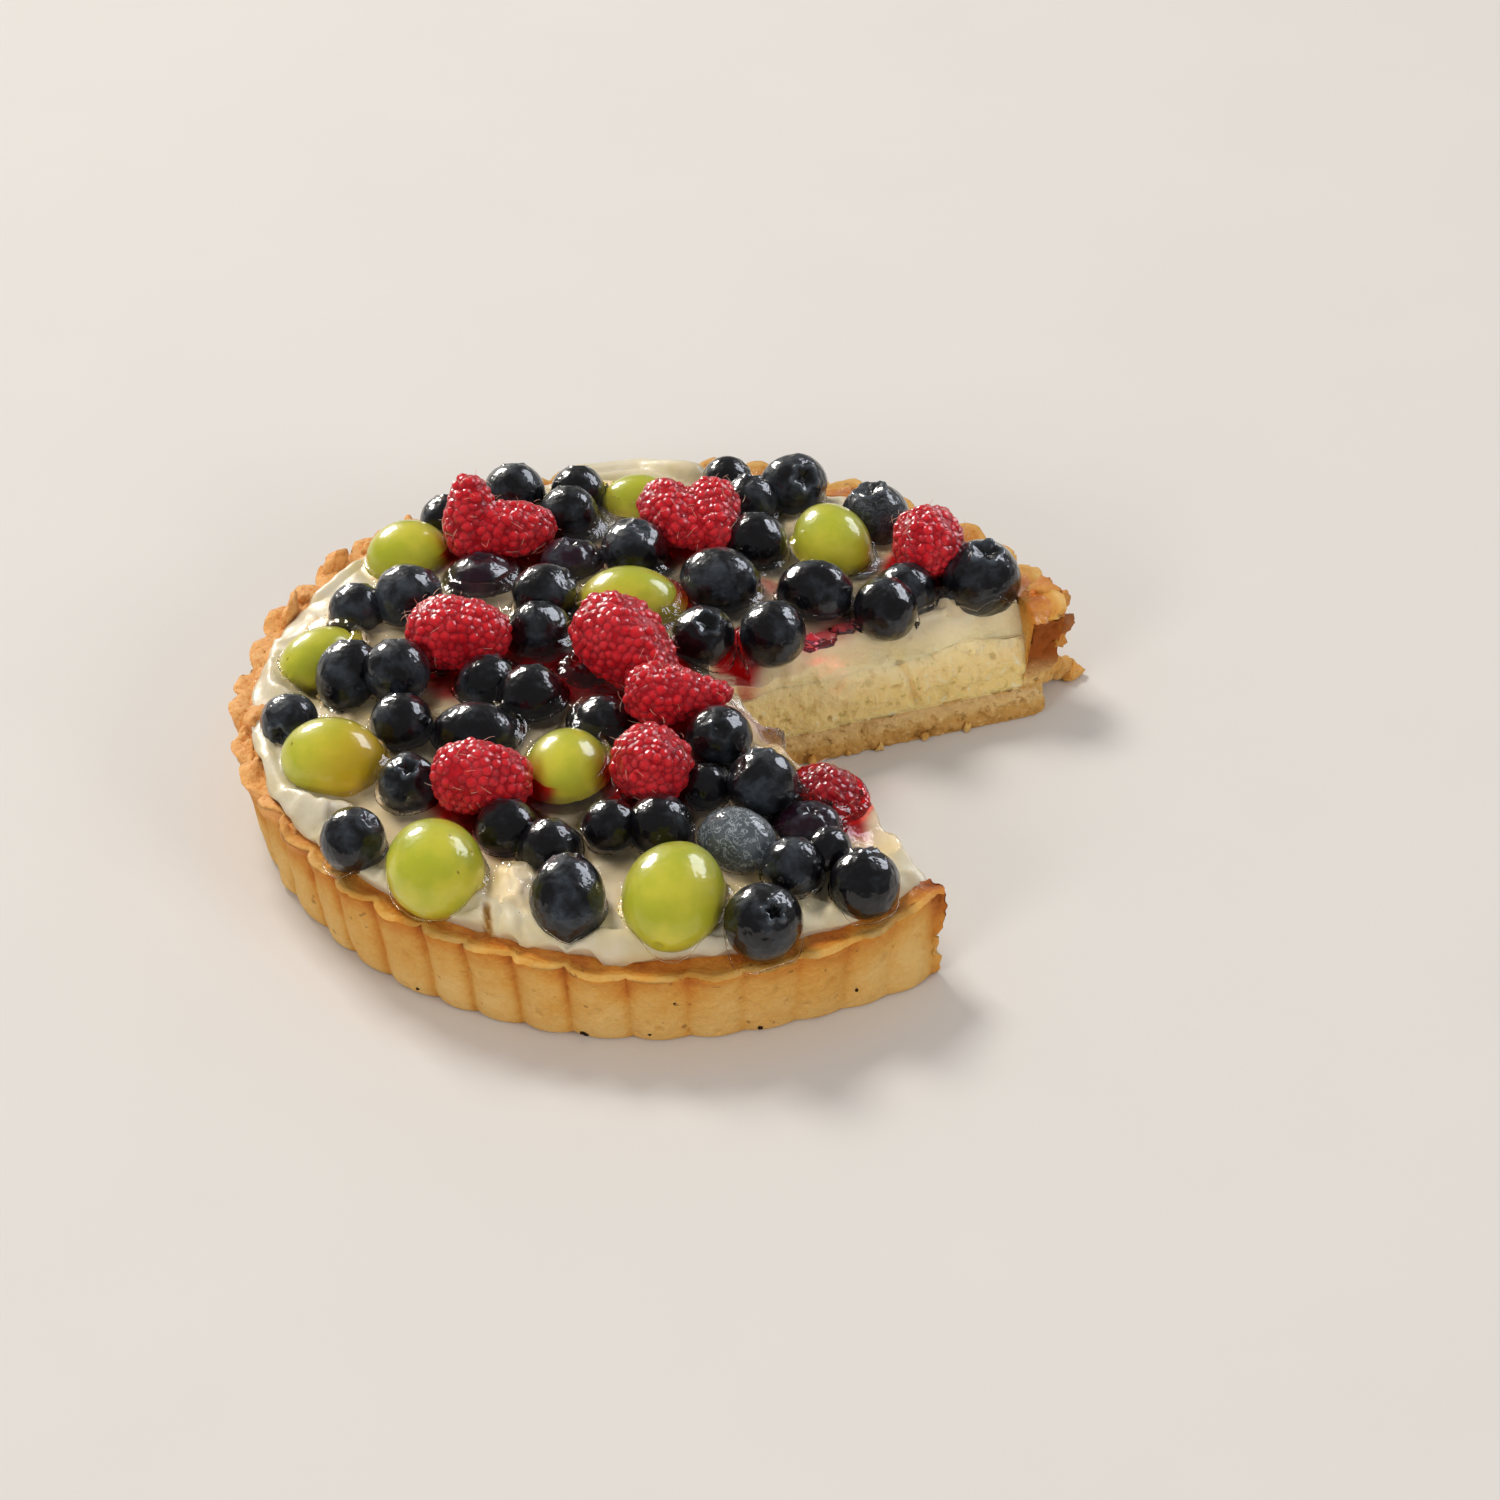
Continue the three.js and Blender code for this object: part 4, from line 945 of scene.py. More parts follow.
def scooped(x, y):
    # 1 at the far cut's upper edge to 0 about 12 mm behind it, where the cream tore as the tart was cut
    behind, _, along = behindCuts(np.c_[x, y, 0 * x])[0]
    uneven = 0.8 + 0.4 * swells(np.c_[along, 0 * x, 0 * x], 13, 66)
    ends = smoothStep((along - 6) / 12) * smoothStep((86 - along) / 8)
    return (behind > -4) * smoothStep(1 - behind / (12 * uneven)) * ends


def creamReach(turns):
    # where the cream ends on the crust
    guess = outTo(90.0, turns)
    angles = np.arctan2(guess[:, 1], guess[:, 0])
    ragged = roughness(np.c_[guess, 0 * turns], 14, 3, 45)
    return creamLook["outer"] + lap(angles) * (0.85 + 0.5 * ragged)


def creamTop(points):
    # the solid's surface, rolled down to the crust at its rim and pushed up round the fruit
    x, y = points[:, 0], points[:, 1]
    radius, angles = np.hypot(x, y), np.arctan2(y, x)
    level = creamLevel(x, y)
    over = lap(angles)
    outer = creamLook["outer"] + over
    start = creamLook["roundFrom"] + 1.8 * over
    roll = np.clip((radius - start) / (outer - start), 0, 1)
    drop = level - (rimHeight(angles) - 0.3 + 0.2 * over + 0.5 * swells(points, 9, 41))
    level = level - np.maximum(drop, 0) * (1 - np.sqrt(1 - roll ** 2 * 0.999))
    flat = np.c_[x, y, level]
    close = awayFrom(flat, fruits + redFruits)
    level = level + creamLook["pushedUp"] * np.exp(-np.clip(close, 0, 20) / 1.1) - 0.35
    plane = np.c_[x, y, 0 * x]
    # ridges that wind about, twice as high towards the rim
    winding = plane + 6 * np.c_[swells(plane, 15, 46), swells(plane, 15, 47), 0 * x]
    swirl = swells(winding, creamLook["ridgeSize"], 43)
    ridgeHeight = creamLook["ridges"] * (1 + smoothStep((radius - 60) / 20))
    ridges = ridgeHeight * (1 - 2 * np.abs(swirl) ** 0.8) + swells(plane, 3.1, 44) * 0.2
    level = level + ridges * smoothStep((close - 0.5) / 3) * (1 - 0.9 * swoosh(x, y))
    for line, halfWidth, rise in creamLook["ribbons"]:
        roll = rise * np.clip(1 - (awayFromLine(x, y, line) / halfWidth) ** 2, 0, 1) ** 0.7
        level = level + roll * (0.35 + 0.65 * smoothStep((close + 0.2) / 2.2))
    pulled = scooped(x, y)
    curds = 0.6 * swells(plane, 4.2, 67) + 0.3 * swells(plane, 2.1, 68)
    level = level - creamLook["tornUpper"] * pulled + np.minimum(pulled, 0.6) * curds
    # its edges are rounded along the far cut and the inner part of the near one
    farBehind, _, farAlong = behindCuts(plane)[0]
    farEnds = smoothStep((farAlong - 4) / 10) * smoothStep((88 - farAlong) / 6)
    farRound = np.clip(1 - farBehind / 7, 0, 1) ** 2
    level = level - creamLook["farEdge"] * farRound * farEnds * (farBehind > -4)
    nearBehind, _, nearAlong = behindCuts(plane)[1]
    nearEnds = smoothStep((nearAlong + 4) / 5) * smoothStep((27 - nearAlong) / 5)
    level = level - creamLook["nearEdge"] * smoothStep(1 - nearBehind / 6) * nearEnds
    cracked = smoothStep(1 - awayFromLine(x, y, creamLook["crack"]) / 1.2)
    return level - creamLook["crackDepth"] * cracked


def custardLevel(x, y):
    # the height where custard and cream meet, a little higher at the cuts
    look = custardLook
    plane = np.c_[x, y, 0 * x]
    behind = np.min([cut[0] for cut in behindCuts(plane)], axis=0)
    atCut = 1 - smoothStep(np.maximum(behind, 0) / look["shoulder"])
    uneven = 0.5 * unevenness(x, y, 27, 3) + 0.9 * atCut * swells(plane, 9, 48)
    return look["top"] + look["atCut"] * atCut + uneven


def ringShares(count):
    # rings from the tip outwards, the closer together the farther out
    return np.linspace(0, 1, count) ** 0.8


def layerPiece(look, levels, outers, coarse):
    # a layer that fills the plan between two surfaces, with fine cut faces; the surfaces may be coarser
    columns, rings, cutRows = look["columns"], look["rings"], look["cutRows"]
    turns = planTurns(columns)
    parts = []
    surfaces = []
    counts = [rings // part for part in coarse]
    for levelOf, outer, count, upper in zip(levels, outers, counts, (False, True)):
        edge = outTo(outer, turns)
        flat = np.vstack([tip + (edge - tip) * s for s in ringShares(count)])
        surface = np.c_[flat, levelOf(flat)]
        faces = gridFaces(count, columns)
        parts.append((surface, faces if upper else faces[:, ::-1], {"cutFace": np.zeros(len(surface))}))
        surfaces.append(surface[-columns:])
    shares = ringShares(rings)
    side = np.vstack([surfaces[0] + (surfaces[1] - surfaces[0]) * s for s in np.linspace(0, 1, 4)])
    parts.append((side, gridFaces(4, columns)[:, ::-1], {"cutFace": np.zeros(len(side))}))
    for turn, flip in ((turns[:1], False), (turns[-1:], True)):
        lines = []
        for levelOf, outer in zip(levels, outers):
            end = outTo(np.asarray(outer)[[0 if not flip else -1]] if np.ndim(outer) else outer, turn)[0]
            flat = tip + (end - tip) * shares[:, None]
            lines.append(np.c_[flat, levelOf(flat)])
        face = np.vstack([lines[0] + (lines[1] - lines[0]) * s for s in np.linspace(0, 1, cutRows)])
        faces = gridFaces(cutRows, len(shares))
        parts.append((face, faces if flip else faces[:, ::-1], {"cutFace": np.ones(len(face))}))
    return joinParts(parts)


def leaned(points):
    # the far cut's upper part leans back to the feet of the fruit
    behind, outward, along = behindCuts(points)[0]
    lean = fillingLook["lean"]
    reach = np.interp(along, lean["along"], lean["back"], left=0.0)
    rise = np.clip((points[:, 2] - lean["from"]) / lean["span"], 0, 1.15)
    share = np.clip(1 - behind / lean["fades"], 0, 1) * (behind > -4)
    return points - outward * (reach * rise ** 2 * share)[:, None]


def curdRelief(points):
    # how far the cut faces stand out or in with small curds and with the crease, the less the higher
    fade = smoothStep((31 - points[:, 2]) / 9) * smoothStep((points[:, 2] - 8.8) / 1.6)
    behind, _, along = behindCuts(points)[0]
    places, heights = zip(*fillingLook["crease"])
    away = along - np.interp(points[:, 2], heights, places) + 0.8 * swells(points, 5, 76)
    crease = -1.5 * np.exp(-(away / 0.9) ** 2) + 0.9 * np.exp(-((away + 2.4) / 2.0) ** 2)
    curds = 0.75 * (np.abs(swells(points, 3.4, 74)) - 0.3) + 0.5 * (np.abs(swells(points, 2.0, 78)) - 0.3)
    return fade * (curds + crease * (np.abs(behind) < 2.5))


def juiceAt(points):
    # how red the juice has stained the cream and the glaze at each point, away from the raspberries
    found = np.zeros(len(points))
    uneven = 0.85 + 0.5 * roughness(points, 6, 2, 65)
    for x, y, reach, strength in creamLook["juice"]:
        away = np.hypot(points[:, 0] - x, points[:, 1] - y) / reach
        found = np.maximum(found, strength * smoothStep(1.3 - away) * uneven)
    return found


def awayFromNearCut(points):
    # the near cut is clean: hardly any juice has run down it
    behind, _, along = behindCuts(points)[1]
    return np.where((np.abs(behind) < 6) & (along > 0), 0.2 + 0.8 * smoothStep((behind - 1) / 5), 1)


def makeCream(material):
    def bottomOf(flat):
        return custardLevel(flat[:, 0], flat[:, 1]) - 0.6

    def topOf(flat):
        return creamTop(np.c_[flat, np.zeros(len(flat))])

    look = creamLook
    reach = creamReach(planTurns(look["columns"]))
    points, faces, labels = layerPiece(look, (bottomOf, topOf), (look["outer"], reach), (8, 1))
    near = awayFrom(points, redFruits)
    berryNear = awayFrom(points, fruits)
    stain = smoothStep(1 - near / 6.5) * (0.8 + 0.6 * roughness(points, 7, 3, 61))
    stain = np.maximum(stain, juiceAt(points)) * awayFromNearCut(points)
    # painted shade under the glaze: darkest beside the berries, the more towards the middle, none on the cuts
    centreShare = 0.22 + 0.78 * smoothStep((82 - np.hypot(points[:, 0], points[:, 1])) / 28)
    dark = (0.68 + 0.5 * smoothStep(1 - berryNear / 6)) * centreShare * (1 - labels["cutFace"])
    farBehind, _, farAlong = behindCuts(points)[0]
    nearFarCut = np.where((farBehind > -4) & (farAlong > 0), smoothStep((farBehind - 2) / 12), 1)
    pulled = np.maximum(labels["cutFace"], scooped(points[:, 0], points[:, 1]))
    dark = dark * (0.85 + 0.6 * roughness(points, 15, 2, 62)) * nearFarCut * (1 - pulled)
    crack = smoothStep(1.4 - awayFromLine(points[:, 0], points[:, 1], look["crack"]) / 0.9)
    moved = tear(points, **fillingLook["torn"])
    for behind, outward, along in behindCuts(points):
        share = np.clip(1 - np.abs(behind) / 3, 0, 1) * (along > 0)
        moved = moved + outward * (share * curdRelief(points))[:, None]
    labels = {**labels, "stain": stain, "dark": dark, "crack": crack, "pulled": pulled}
    points, faces, labels = welded(leaned(moved), faces, labels)
    makePiece("creamLayer", points, faces, material, labels, ["cream"])
    print("cream:", len(points), "points")


def makeCustard(material):
    look = custardLook

    def bottomOf(flat):
        return np.full(len(flat), look["bottom"] - 0.8)

    def topOf(flat):
        return custardLevel(flat[:, 0], flat[:, 1]) - 0.3

    points, faces, labels = layerPiece(look, (bottomOf, topOf), look["radii"], (10, 10))
    smallHoles = smoothStep((swells(points, 2.3, 71) - 0.52) / 0.3)
    holes = smallHoles + 0.7 * smoothStep((swells(points, 4.0, 72) - 0.62) / 0.3)
    below = smoothStep((topOf(points[:, :2]) - points[:, 2] - 0.2) / 4)
    below = below * smoothStep((points[:, 2] - 8.6) / 1.6)
    moved = tear(points, **fillingLook["torn"])
    for behind, outward, along in behindCuts(points):
        onFace = labels["cutFace"] * (np.abs(behind) < 2.5) * (along > 0)
        relief = curdRelief(points) - below * holes * look["holes"] + 0.03
        moved = moved + outward * (onFace * relief)[:, None]
    labels = {**labels, "hole": holes * below}
    makePiece("custardLayer", leaned(moved), faces, material, labels, ["custard"])
    print("custard:", len(points), "points")


def cutThrough(tree, look):
    # the cut through cream and custard, one face: pale and smooth above, yellower and full of curds to
    # the foot; gives its colour and how rough it is
    start, end = fillingLook["paler"]
    drifts = fillingLook["drifts"] * mm
    height = sumOf(tree, -drifts / 2, (look["height"], 1.0), (look["drift"], drifts))
    level = strengthOf(tree, 1.0, (height, start * mm, end * mm))
    low = sumOf(tree, 1.1, (level, -1.0), clamp=True)
    # the curds are painted: a painted shade in the sunken ones, a painted highlight on the raised ones
    shade = painted(tree, addNode(tree, "ValToRGB", {"Fac": level}, stops=fillingLook["cut"]),
                    (fillingLook["pit"], 1.0, (look["curd"], 0.55, 0.72), low),
                    (fillingLook["lump"], 1.0, (look["curd"], 0.45, 0.3), low))
    return shade, sumOf(tree, 1.2, (level, -1.0))


def pastryCream():
    # whipped pastry cream under fruit glaze: off-white, soft edged, wet, stained by the fruit's juice
    tones = creamLook["tones"]
    grains = {**fillingLook["grains"], **creamLook["grains"]}
    material, tree, look = newMaterial("glazedPastryCream", grains,
                                       ("height", "dark", "pulled", "crack", "stain"))
    cutShade, rough = cutThrough(tree, look)
    # the juice is painted darker where the painted shade between the fruit lies
    juice = painted(tree, tones["juice"], (tones["deepJuice"], 0.8, look["dark"]))
    shade = painted(
        tree, tones["cream"],
        (tones["yellower"], 1.0, (look["blotch"], 0.35, 0.7)),
        # painted shade between the fruit
        (tones["shaded"], 0.97, look["dark"]),
        (cutShade, 1.0, look["pulled"]),
        (tones["crack"], 1.0, look["crack"]),
        (juice, 1.0, (look["stain"], 0.15, 0.8)))
    surface = addNode(tree, "BsdfPrincipled", {
        "Base Color": shade, **fillingLook["surface"],
        "Coat Weight": sumOf(tree, 0.2, (look["pulled"], -0.2)), "Coat Roughness": 0.18, "Coat IOR": 1.4})
    finishMaterial(tree, surface, [(look["soft"], 0.5),
                                   (look["curd"], -fillingLook["curdDepth"], rough, look["pulled"])])
    return material


def bakedCustard():
    # set custard sponge, cut through: pale yellow, porous, matt
    material, tree, look = newMaterial("porousCustard", fillingLook["grains"], ("height", "hole"))
    shade, rough = cutThrough(tree, look)
    # painted shade in the holes
    shade = painted(tree, shade, (custardLook["holeTone"], 0.6, look["hole"]))
    surface = addNode(tree, "BsdfPrincipled", {"Base Color": shade, **fillingLook["surface"]})
    finishMaterial(tree, surface, [(look["soft"], 0.5), (look["curd"], -fillingLook["curdDepth"], rough)])
    return material


berryLook = {
    "around": 50, "rows": 38, "crownRadius": 2.5, "crownLift": 0.7, "crownDepth": 1.8, "fuller": 0.3,
    "boldCrowns": ["blueberry_17", "blueberry_20", "blueberry_29_31", "blueberry_30", "blueberry_37",
                   "blueberry_38", "blueberry_42", "blueberry_46", "blueberry_51"],
    "otherCrowns": 0.4,
    "crownSizes": {"blueberry_30": 1.45, "blueberry_37": 1.2, "blueberry_38": 1.2, "blueberry_29_31": 1.15,
                   "blueberry_51": 0.8},
    # share of bloom left on the skin, and of purple, where a berry differs from the rest
    "bloom": {"blueberry_43": 2.2, "blueberry_09_10": 0.6, "blueberry_01": 0.55, "blueberry_29_31": 0.5,
              "blueberry_33": 0.5, "blueberry_26": 0.45, "blueberry_30": 0.35},
    "purple": {"blueberry_06": 0.9, "blueberry_07": 0.9, "blueberry_44": 0.8, "blueberry_27": 0.4},
    "usualBloom": 0.25, "usualPurple": 0.08,
    "frost": {"blueberry_43": 0.7, "blueberry_30": 0.15},  # whitest bloom
    # dents that soft berries have
    "dents": {"blueberry_05": 1.0, "blueberry_20": 0.9, "blueberry_42": 0.8, "blueberry_06": 0.7,
              "blueberry_07": 0.7, "blueberry_08_11": 0.7, "blueberry_38": 0.6, "blueberry_34": 0.5,
              "blueberry_44": 0.7, "blueberry_29_31": 0.5},
    "usualDents": 0.2,
    "longer": {("blueberry_12_13", 0): (-0.4, -2.6, -1.2)},  # grown longer one way, in millimetres
    "tones": {"skin": "#07080b", "purple": "#220617", "bluer": "#0e1116", "thinBloom": "#1c2228",
              "fullBloom": "#4d5661", "frost": "#a3adb3", "ring": "#5a656f", "bowl": "#050506"},
    # size in millimetres, detail, roughness and distortion of each grain
    "grains": {"patch": (5.5, 4, 0.55, 0.3), "mottle": (3, 3, 0.55, 0), "dust": (1.2, 3, 0.7, 0),
               "vein": (2.2, 3, 0.6, 1.2), "veinPatch": (4, 3, 0.55, 0), "wave": (5, 2, 0.55, 0),
               "ripple": (2.2, 2, 0.55, 0)},
}


def berryPart(centre, crown, along, across, seed, bold, dents, wide):
    # one berry, its crown's ring, bowl and stub as bold and as wide as asked
    look = berryLook
    rows, count = look["rows"], look["around"]
    leanRows = math.pi * np.linspace(0, 1, rows) ** 1.45  # rows lie closer at the crown
    leans, turns, ways, direction = skinGrid(leanRows, count, crown)
    size = across / 7.5
    across, along = across + look["fuller"], along + look["fuller"]
    points = ways * across + (np.cos(leans) * along)[:, None] * crown
    arc = leans * across  # distance from the crown's centre along the skin
    uneven = 0.38 * np.cos(5 * turns + seed) + 0.25 * swells(direction * 9 + seed, 4, seed)
    star = size * (wide * look["crownRadius"] + uneven)
    ring = np.exp(-((arc - star) / (0.42 * size)) ** 2) * (0.7 + 0.45 * np.cos(5 * turns + seed))
    bowl = smoothStep(1 - arc / np.maximum(star, 0.1)) * look["crownDepth"] * size
    stub = 0.3 * size * np.exp(-(arc / (0.5 * size)) ** 2)
    lift = bold * (look["crownLift"] * size * ring - bowl + stub)
    lift = lift + across * 0.022 * swells(direction * across + seed * 3.1, 6.5, seed) - 0.12 * size
    dented = smoothStep((swells(direction * across + seed * 1.7, 5.5, seed + 9) - 0.05) / 0.55)
    lift = lift - dents * across * 0.1 * dented
    points = points + direction * lift[:, None] + centre
    labels = {"bowl": bold * smoothStep(1.1 - arc / np.maximum(star, 0.1)),
              "ring": bold * np.clip(ring, 0, 1)}
    return points, gridFaces(rows, count, True), labels


def makeBlueberries(material):
    look = berryLook
    for index, (name, found) in enumerate(sorted(berries.items())):
        parts = []
        bold = 1.0 if name in look["boldCrowns"] else look["otherCrowns"]
        dents = look["dents"].get(name, look["usualDents"])
        wide = look["crownSizes"].get(name, 1.0)
        for step, (centre, crown, along, across) in enumerate(found):
            seed = 7 * index + 3 * step + 1
            points, faces, labels = berryPart(centre, crown, along, across, seed, bold, dents, wide)
            if (name, step) in look["longer"]:
                way = np.array(look["longer"][name, step])
                lead = np.maximum((points - centre) @ way / (way @ way) ** 0.5, 0) / across
                points = points + way * lead[:, None]
            # painted light: the left side's berries get a little more bloom, so that they look more lit
            usualBloom = look["usualBloom"] + 0.14 * math.sin(index * 2.4 + step) + 0.12 * (centre[0] < -45)
            labels["bloom"] = np.full(len(points), look["bloom"].get(name, usualBloom))
            labels["purple"] = np.full(len(points), look["purple"].get(name, look["usualPurple"]))
            labels["frost"] = np.full(len(points), look["frost"].get(name, 0.0))
            parts.append((points, faces, labels))
        points, faces, labels = joinParts(parts)
        label = "blueberry" + name[len("blueberry"):].replace("_", "")
        makePiece(label, points, faces, material, labels, [name])
    print("blueberries:", len(berries), "pieces")


def blueberrySkin():
    # blueberry skin: blue-black, its waxy bloom rubbed off in patches, wet with clear glaze
    tones = berryLook["tones"]
    material, tree, look = newMaterial("blueberrySkin", berryLook["grains"],
                                       ("bloom", "purple", "frost", "ring", "bowl"))
    bloom = strengthOf(tree, 1.0, (sumOf(tree, look["patch"], (look["bloom"], 0.42)), 0.58, 0.9))
    dusty = painted(tree, tones["thinBloom"], (tones["fullBloom"], 1.0, look["dust"]))
    aside = addNode(tree, "Math", {0: sumOf(tree, -0.5, (look["vein"], 1.0))}, operation="ABSOLUTE")
    veins = sumOf(tree, strengthOf(tree, 1.0, (aside, 0.035, 0.005)), (look["veinPatch"], 0.45))
    shade = painted(
        tree, tones["skin"],
        (tones["purple"], 1.0, look["purple"]),
        (tones["bluer"], 1.0, (look["mottle"], 0.45, 0.8)),
        (dusty, 0.72, bloom),
        (tones["frost"], 1.0, look["frost"], veins),
        (tones["ring"], 0.7, look["ring"]),
        (tones["bowl"], 0.9, look["bowl"]))
    surface = addNode(tree, "BsdfPrincipled", {
        "Base Color": shade, "Roughness": sumOf(tree, 0.3, (bloom, 0.35)), "IOR": 1.45,
        "Specular IOR Level": 0.2, "Coat Weight": 1.0, "Coat Roughness": 0.02, "Coat IOR": 1.42})
    finishMaterial(tree, surface, [(look["wave"], 0.7), (look["ripple"], 0.26)])
    return material


grapeLook = {
    "around": 60, "rows": 44,
    # ripe amber sides: how strong, and the way they face
    "amber": {"grape_06": (0.6, (0.8, -0.3, -0.2)), "grape_05": (0.3, (0.3, 0.2, -0.6)),
              "grape_04": (0.35, (-0.4, -0.5, -0.4))},
    "usualAmber": (0.12, (0.3, -0.4, -0.8)),
    "tones": {"green": "#aeb331", "yellower": "#c6c142", "low": "#a58f14", "amber": "#cf9a17",
              "spot": "#8a7a2a", "stain": "#c04a1c"},
    # size in millimetres, detail, roughness and distortion of each grain
    "grains": {"blotch": (9, 3, 0.55, 0), "spot": (2.0, 2, 0.4, 0), "wave": (6, 3, 0.55, 0),
               "ripple": (2.4, 2, 0.55, 0)},
}


def makeGrapes(material):
    for index, (name, (centre, axis, along, across)) in enumerate(sorted(grapes.items())):
        rows, count = grapeLook["rows"], grapeLook["around"]
        leans, _, ways, direction = skinGrid(np.linspace(0, math.pi, rows), count, axis)
        points = ways * across + (np.cos(leans) * along)[:, None] * axis
        arc = leans * across
        lift = 0.018 * across * swells(direction * across, 9, index + 80)
        lift = lift - 0.5 * np.exp(-(arc / 1.3) ** 2) + 0.25 * np.exp(-((arc - 1.6) / 0.6) ** 2)
        points = points + direction * lift[:, None] + centre
        strength, facing = grapeLook["amber"].get(name, grapeLook["usualAmber"])
        labels = {"amber": strength * smoothStep(0.45 + direction @ np.array(facing) * 0.8),
                  "stain": smoothStep(1 - awayFrom(points, redFruits) / 3.4),
                  # low: a painted shade, darker towards each grape's underside
                  "low": smoothStep((centre[2] - points[:, 2]) / across)}
        faces = gridFaces(rows, count, True)
        makePiece("grape" + name[-2:], points, faces, material, labels, [name])
    print("grapes:", len(grapes), "pieces")


def grapeSkin():
    # white grape: thin green-gold skin over clear flesh, so that light spreads inside it
    tones = grapeLook["tones"]
    material, tree, look = newMaterial("greenGrapeSkin", grapeLook["grains"], ("amber", "stain", "low"))
    shade = painted(
        tree, tones["green"],
        (tones["yellower"], 1.0, (look["blotch"], 0.35, 0.7)),
        # painted shade on the lower side
        (tones["low"], 0.55, look["low"]),
        (tones["amber"], 1.0, look["amber"]),
        (tones["spot"], 1.0, (look["spot"], 0.74, 0.8)),
        (tones["stain"], 0.45, look["stain"]))
    surface = addNode(tree, "BsdfPrincipled", {
        "Base Color": shade, "Roughness": 0.33, "IOR": 1.42, "Specular IOR Level": 0.35,
        "Subsurface Weight": 0.85, "Subsurface Radius": (1.0, 1.0, 0.25), "Subsurface Scale": 6 * mm,
        "Coat Weight": 0.8, "Coat Roughness": 0.02, "Coat IOR": 1.422})
    finishMaterial(tree, surface, [(look["wave"], 0.4), (look["ripple"], 0.07)])
    return material


def hairPart(root, outward, random):
    # one dried style: a thin bent hair
    side, other = sideways(outward)
    turn = random.uniform(0, 2 * math.pi)
    lean = side * math.cos(turn) + other * math.sin(turn)
    long = random.uniform(*raspberryLook["hairs"]["long"])
    rows = []
    for share in (0, 0.35, 0.7, 1.0):
        middle = root + outward * (0.2 + 0.75 * math.sin(share * 1.9)) + lean * long * share
        thick = raspberryLook["hairs"]["thick"] * (1 - 0.6 * share)
        for corner in range(3):
            spin = corner * 2 * math.pi / 3
            way = outward * math.cos(spin) + np.cross(lean, outward) * math.sin(spin)
            rows.append(middle + thick * way)
    return np.array(rows), gridFaces(4, 3, True)


def lobeOutline(lobe):
    # half width and height along a lobe's side, and the outward direction at each point
    fine = np.linspace(-1, 1, 400)
    line = np.c_[lobeWidth(fine, lobe["taper"]) * lobe["width"] / 2, fine * lobe["length"] / 2]
    slope = np.gradient(line, axis=0)
    slope /= np.linalg.norm(slope, axis=1)[:, None] + 1e-9
    return line, np.c_[slope[:, 1], -slope[:, 0]]


def drupeletPlaces(lobe, random):
    # spreads points over a lobe until they stand evenly apart, and gives their outward directions
    line, outward = lobeOutline(lobe)
    steps = np.linalg.norm(np.diff(line, axis=0), axis=1)
    weight = np.r_[steps, 0] * line[:, 0]
    apart = raspberryLook["apart"]
    count = round(2 * math.pi * weight.sum() / (0.866 * apart ** 2))
    index = random.choice(len(line), count, p=weight / weight.sum())
    turn = random.uniform(0, 2 * math.pi, count)
    places = np.c_[line[index, 0] * np.cos(turn), line[index, 0] * np.sin(turn), line[index, 1]]
    for _ in range(70):
        gaps = places[:, None] - places[None]
        far = np.linalg.norm(gaps, axis=2) + np.eye(count) * 99
        push = np.maximum(0, 1.25 * apart - far) / far
        places = places + 0.22 * (gaps * push[:, :, None]).sum(1)
        radius = np.hypot(places[:, 0], places[:, 1]) + 1e-9
        offLine = (line[None, :, 0] - radius[:, None]) ** 2 + (line[None, :, 1] - places[:, 2:]) ** 2
        index = np.argmin(offLine, axis=1)
        places = np.c_[places[:, :2] / radius[:, None] * line[index, :1], line[index, 1]]
    radius = np.hypot(places[:, 0], places[:, 1]) + 1e-9
    normals = np.c_[places[:, :2] / radius[:, None] * outward[index, :1], outward[index, 1]]
    side, other = sideways(lobe["direction"])
    turned = np.array([side, other, lobe["direction"]])
    gaps = np.linalg.norm(places[:, None] - places[None], axis=2) + np.eye(count) * 99
    room = np.sort(gaps, axis=1)[:, :4].mean(1)
    return lobe["centre"] + places @ turned, normals @ turned, room


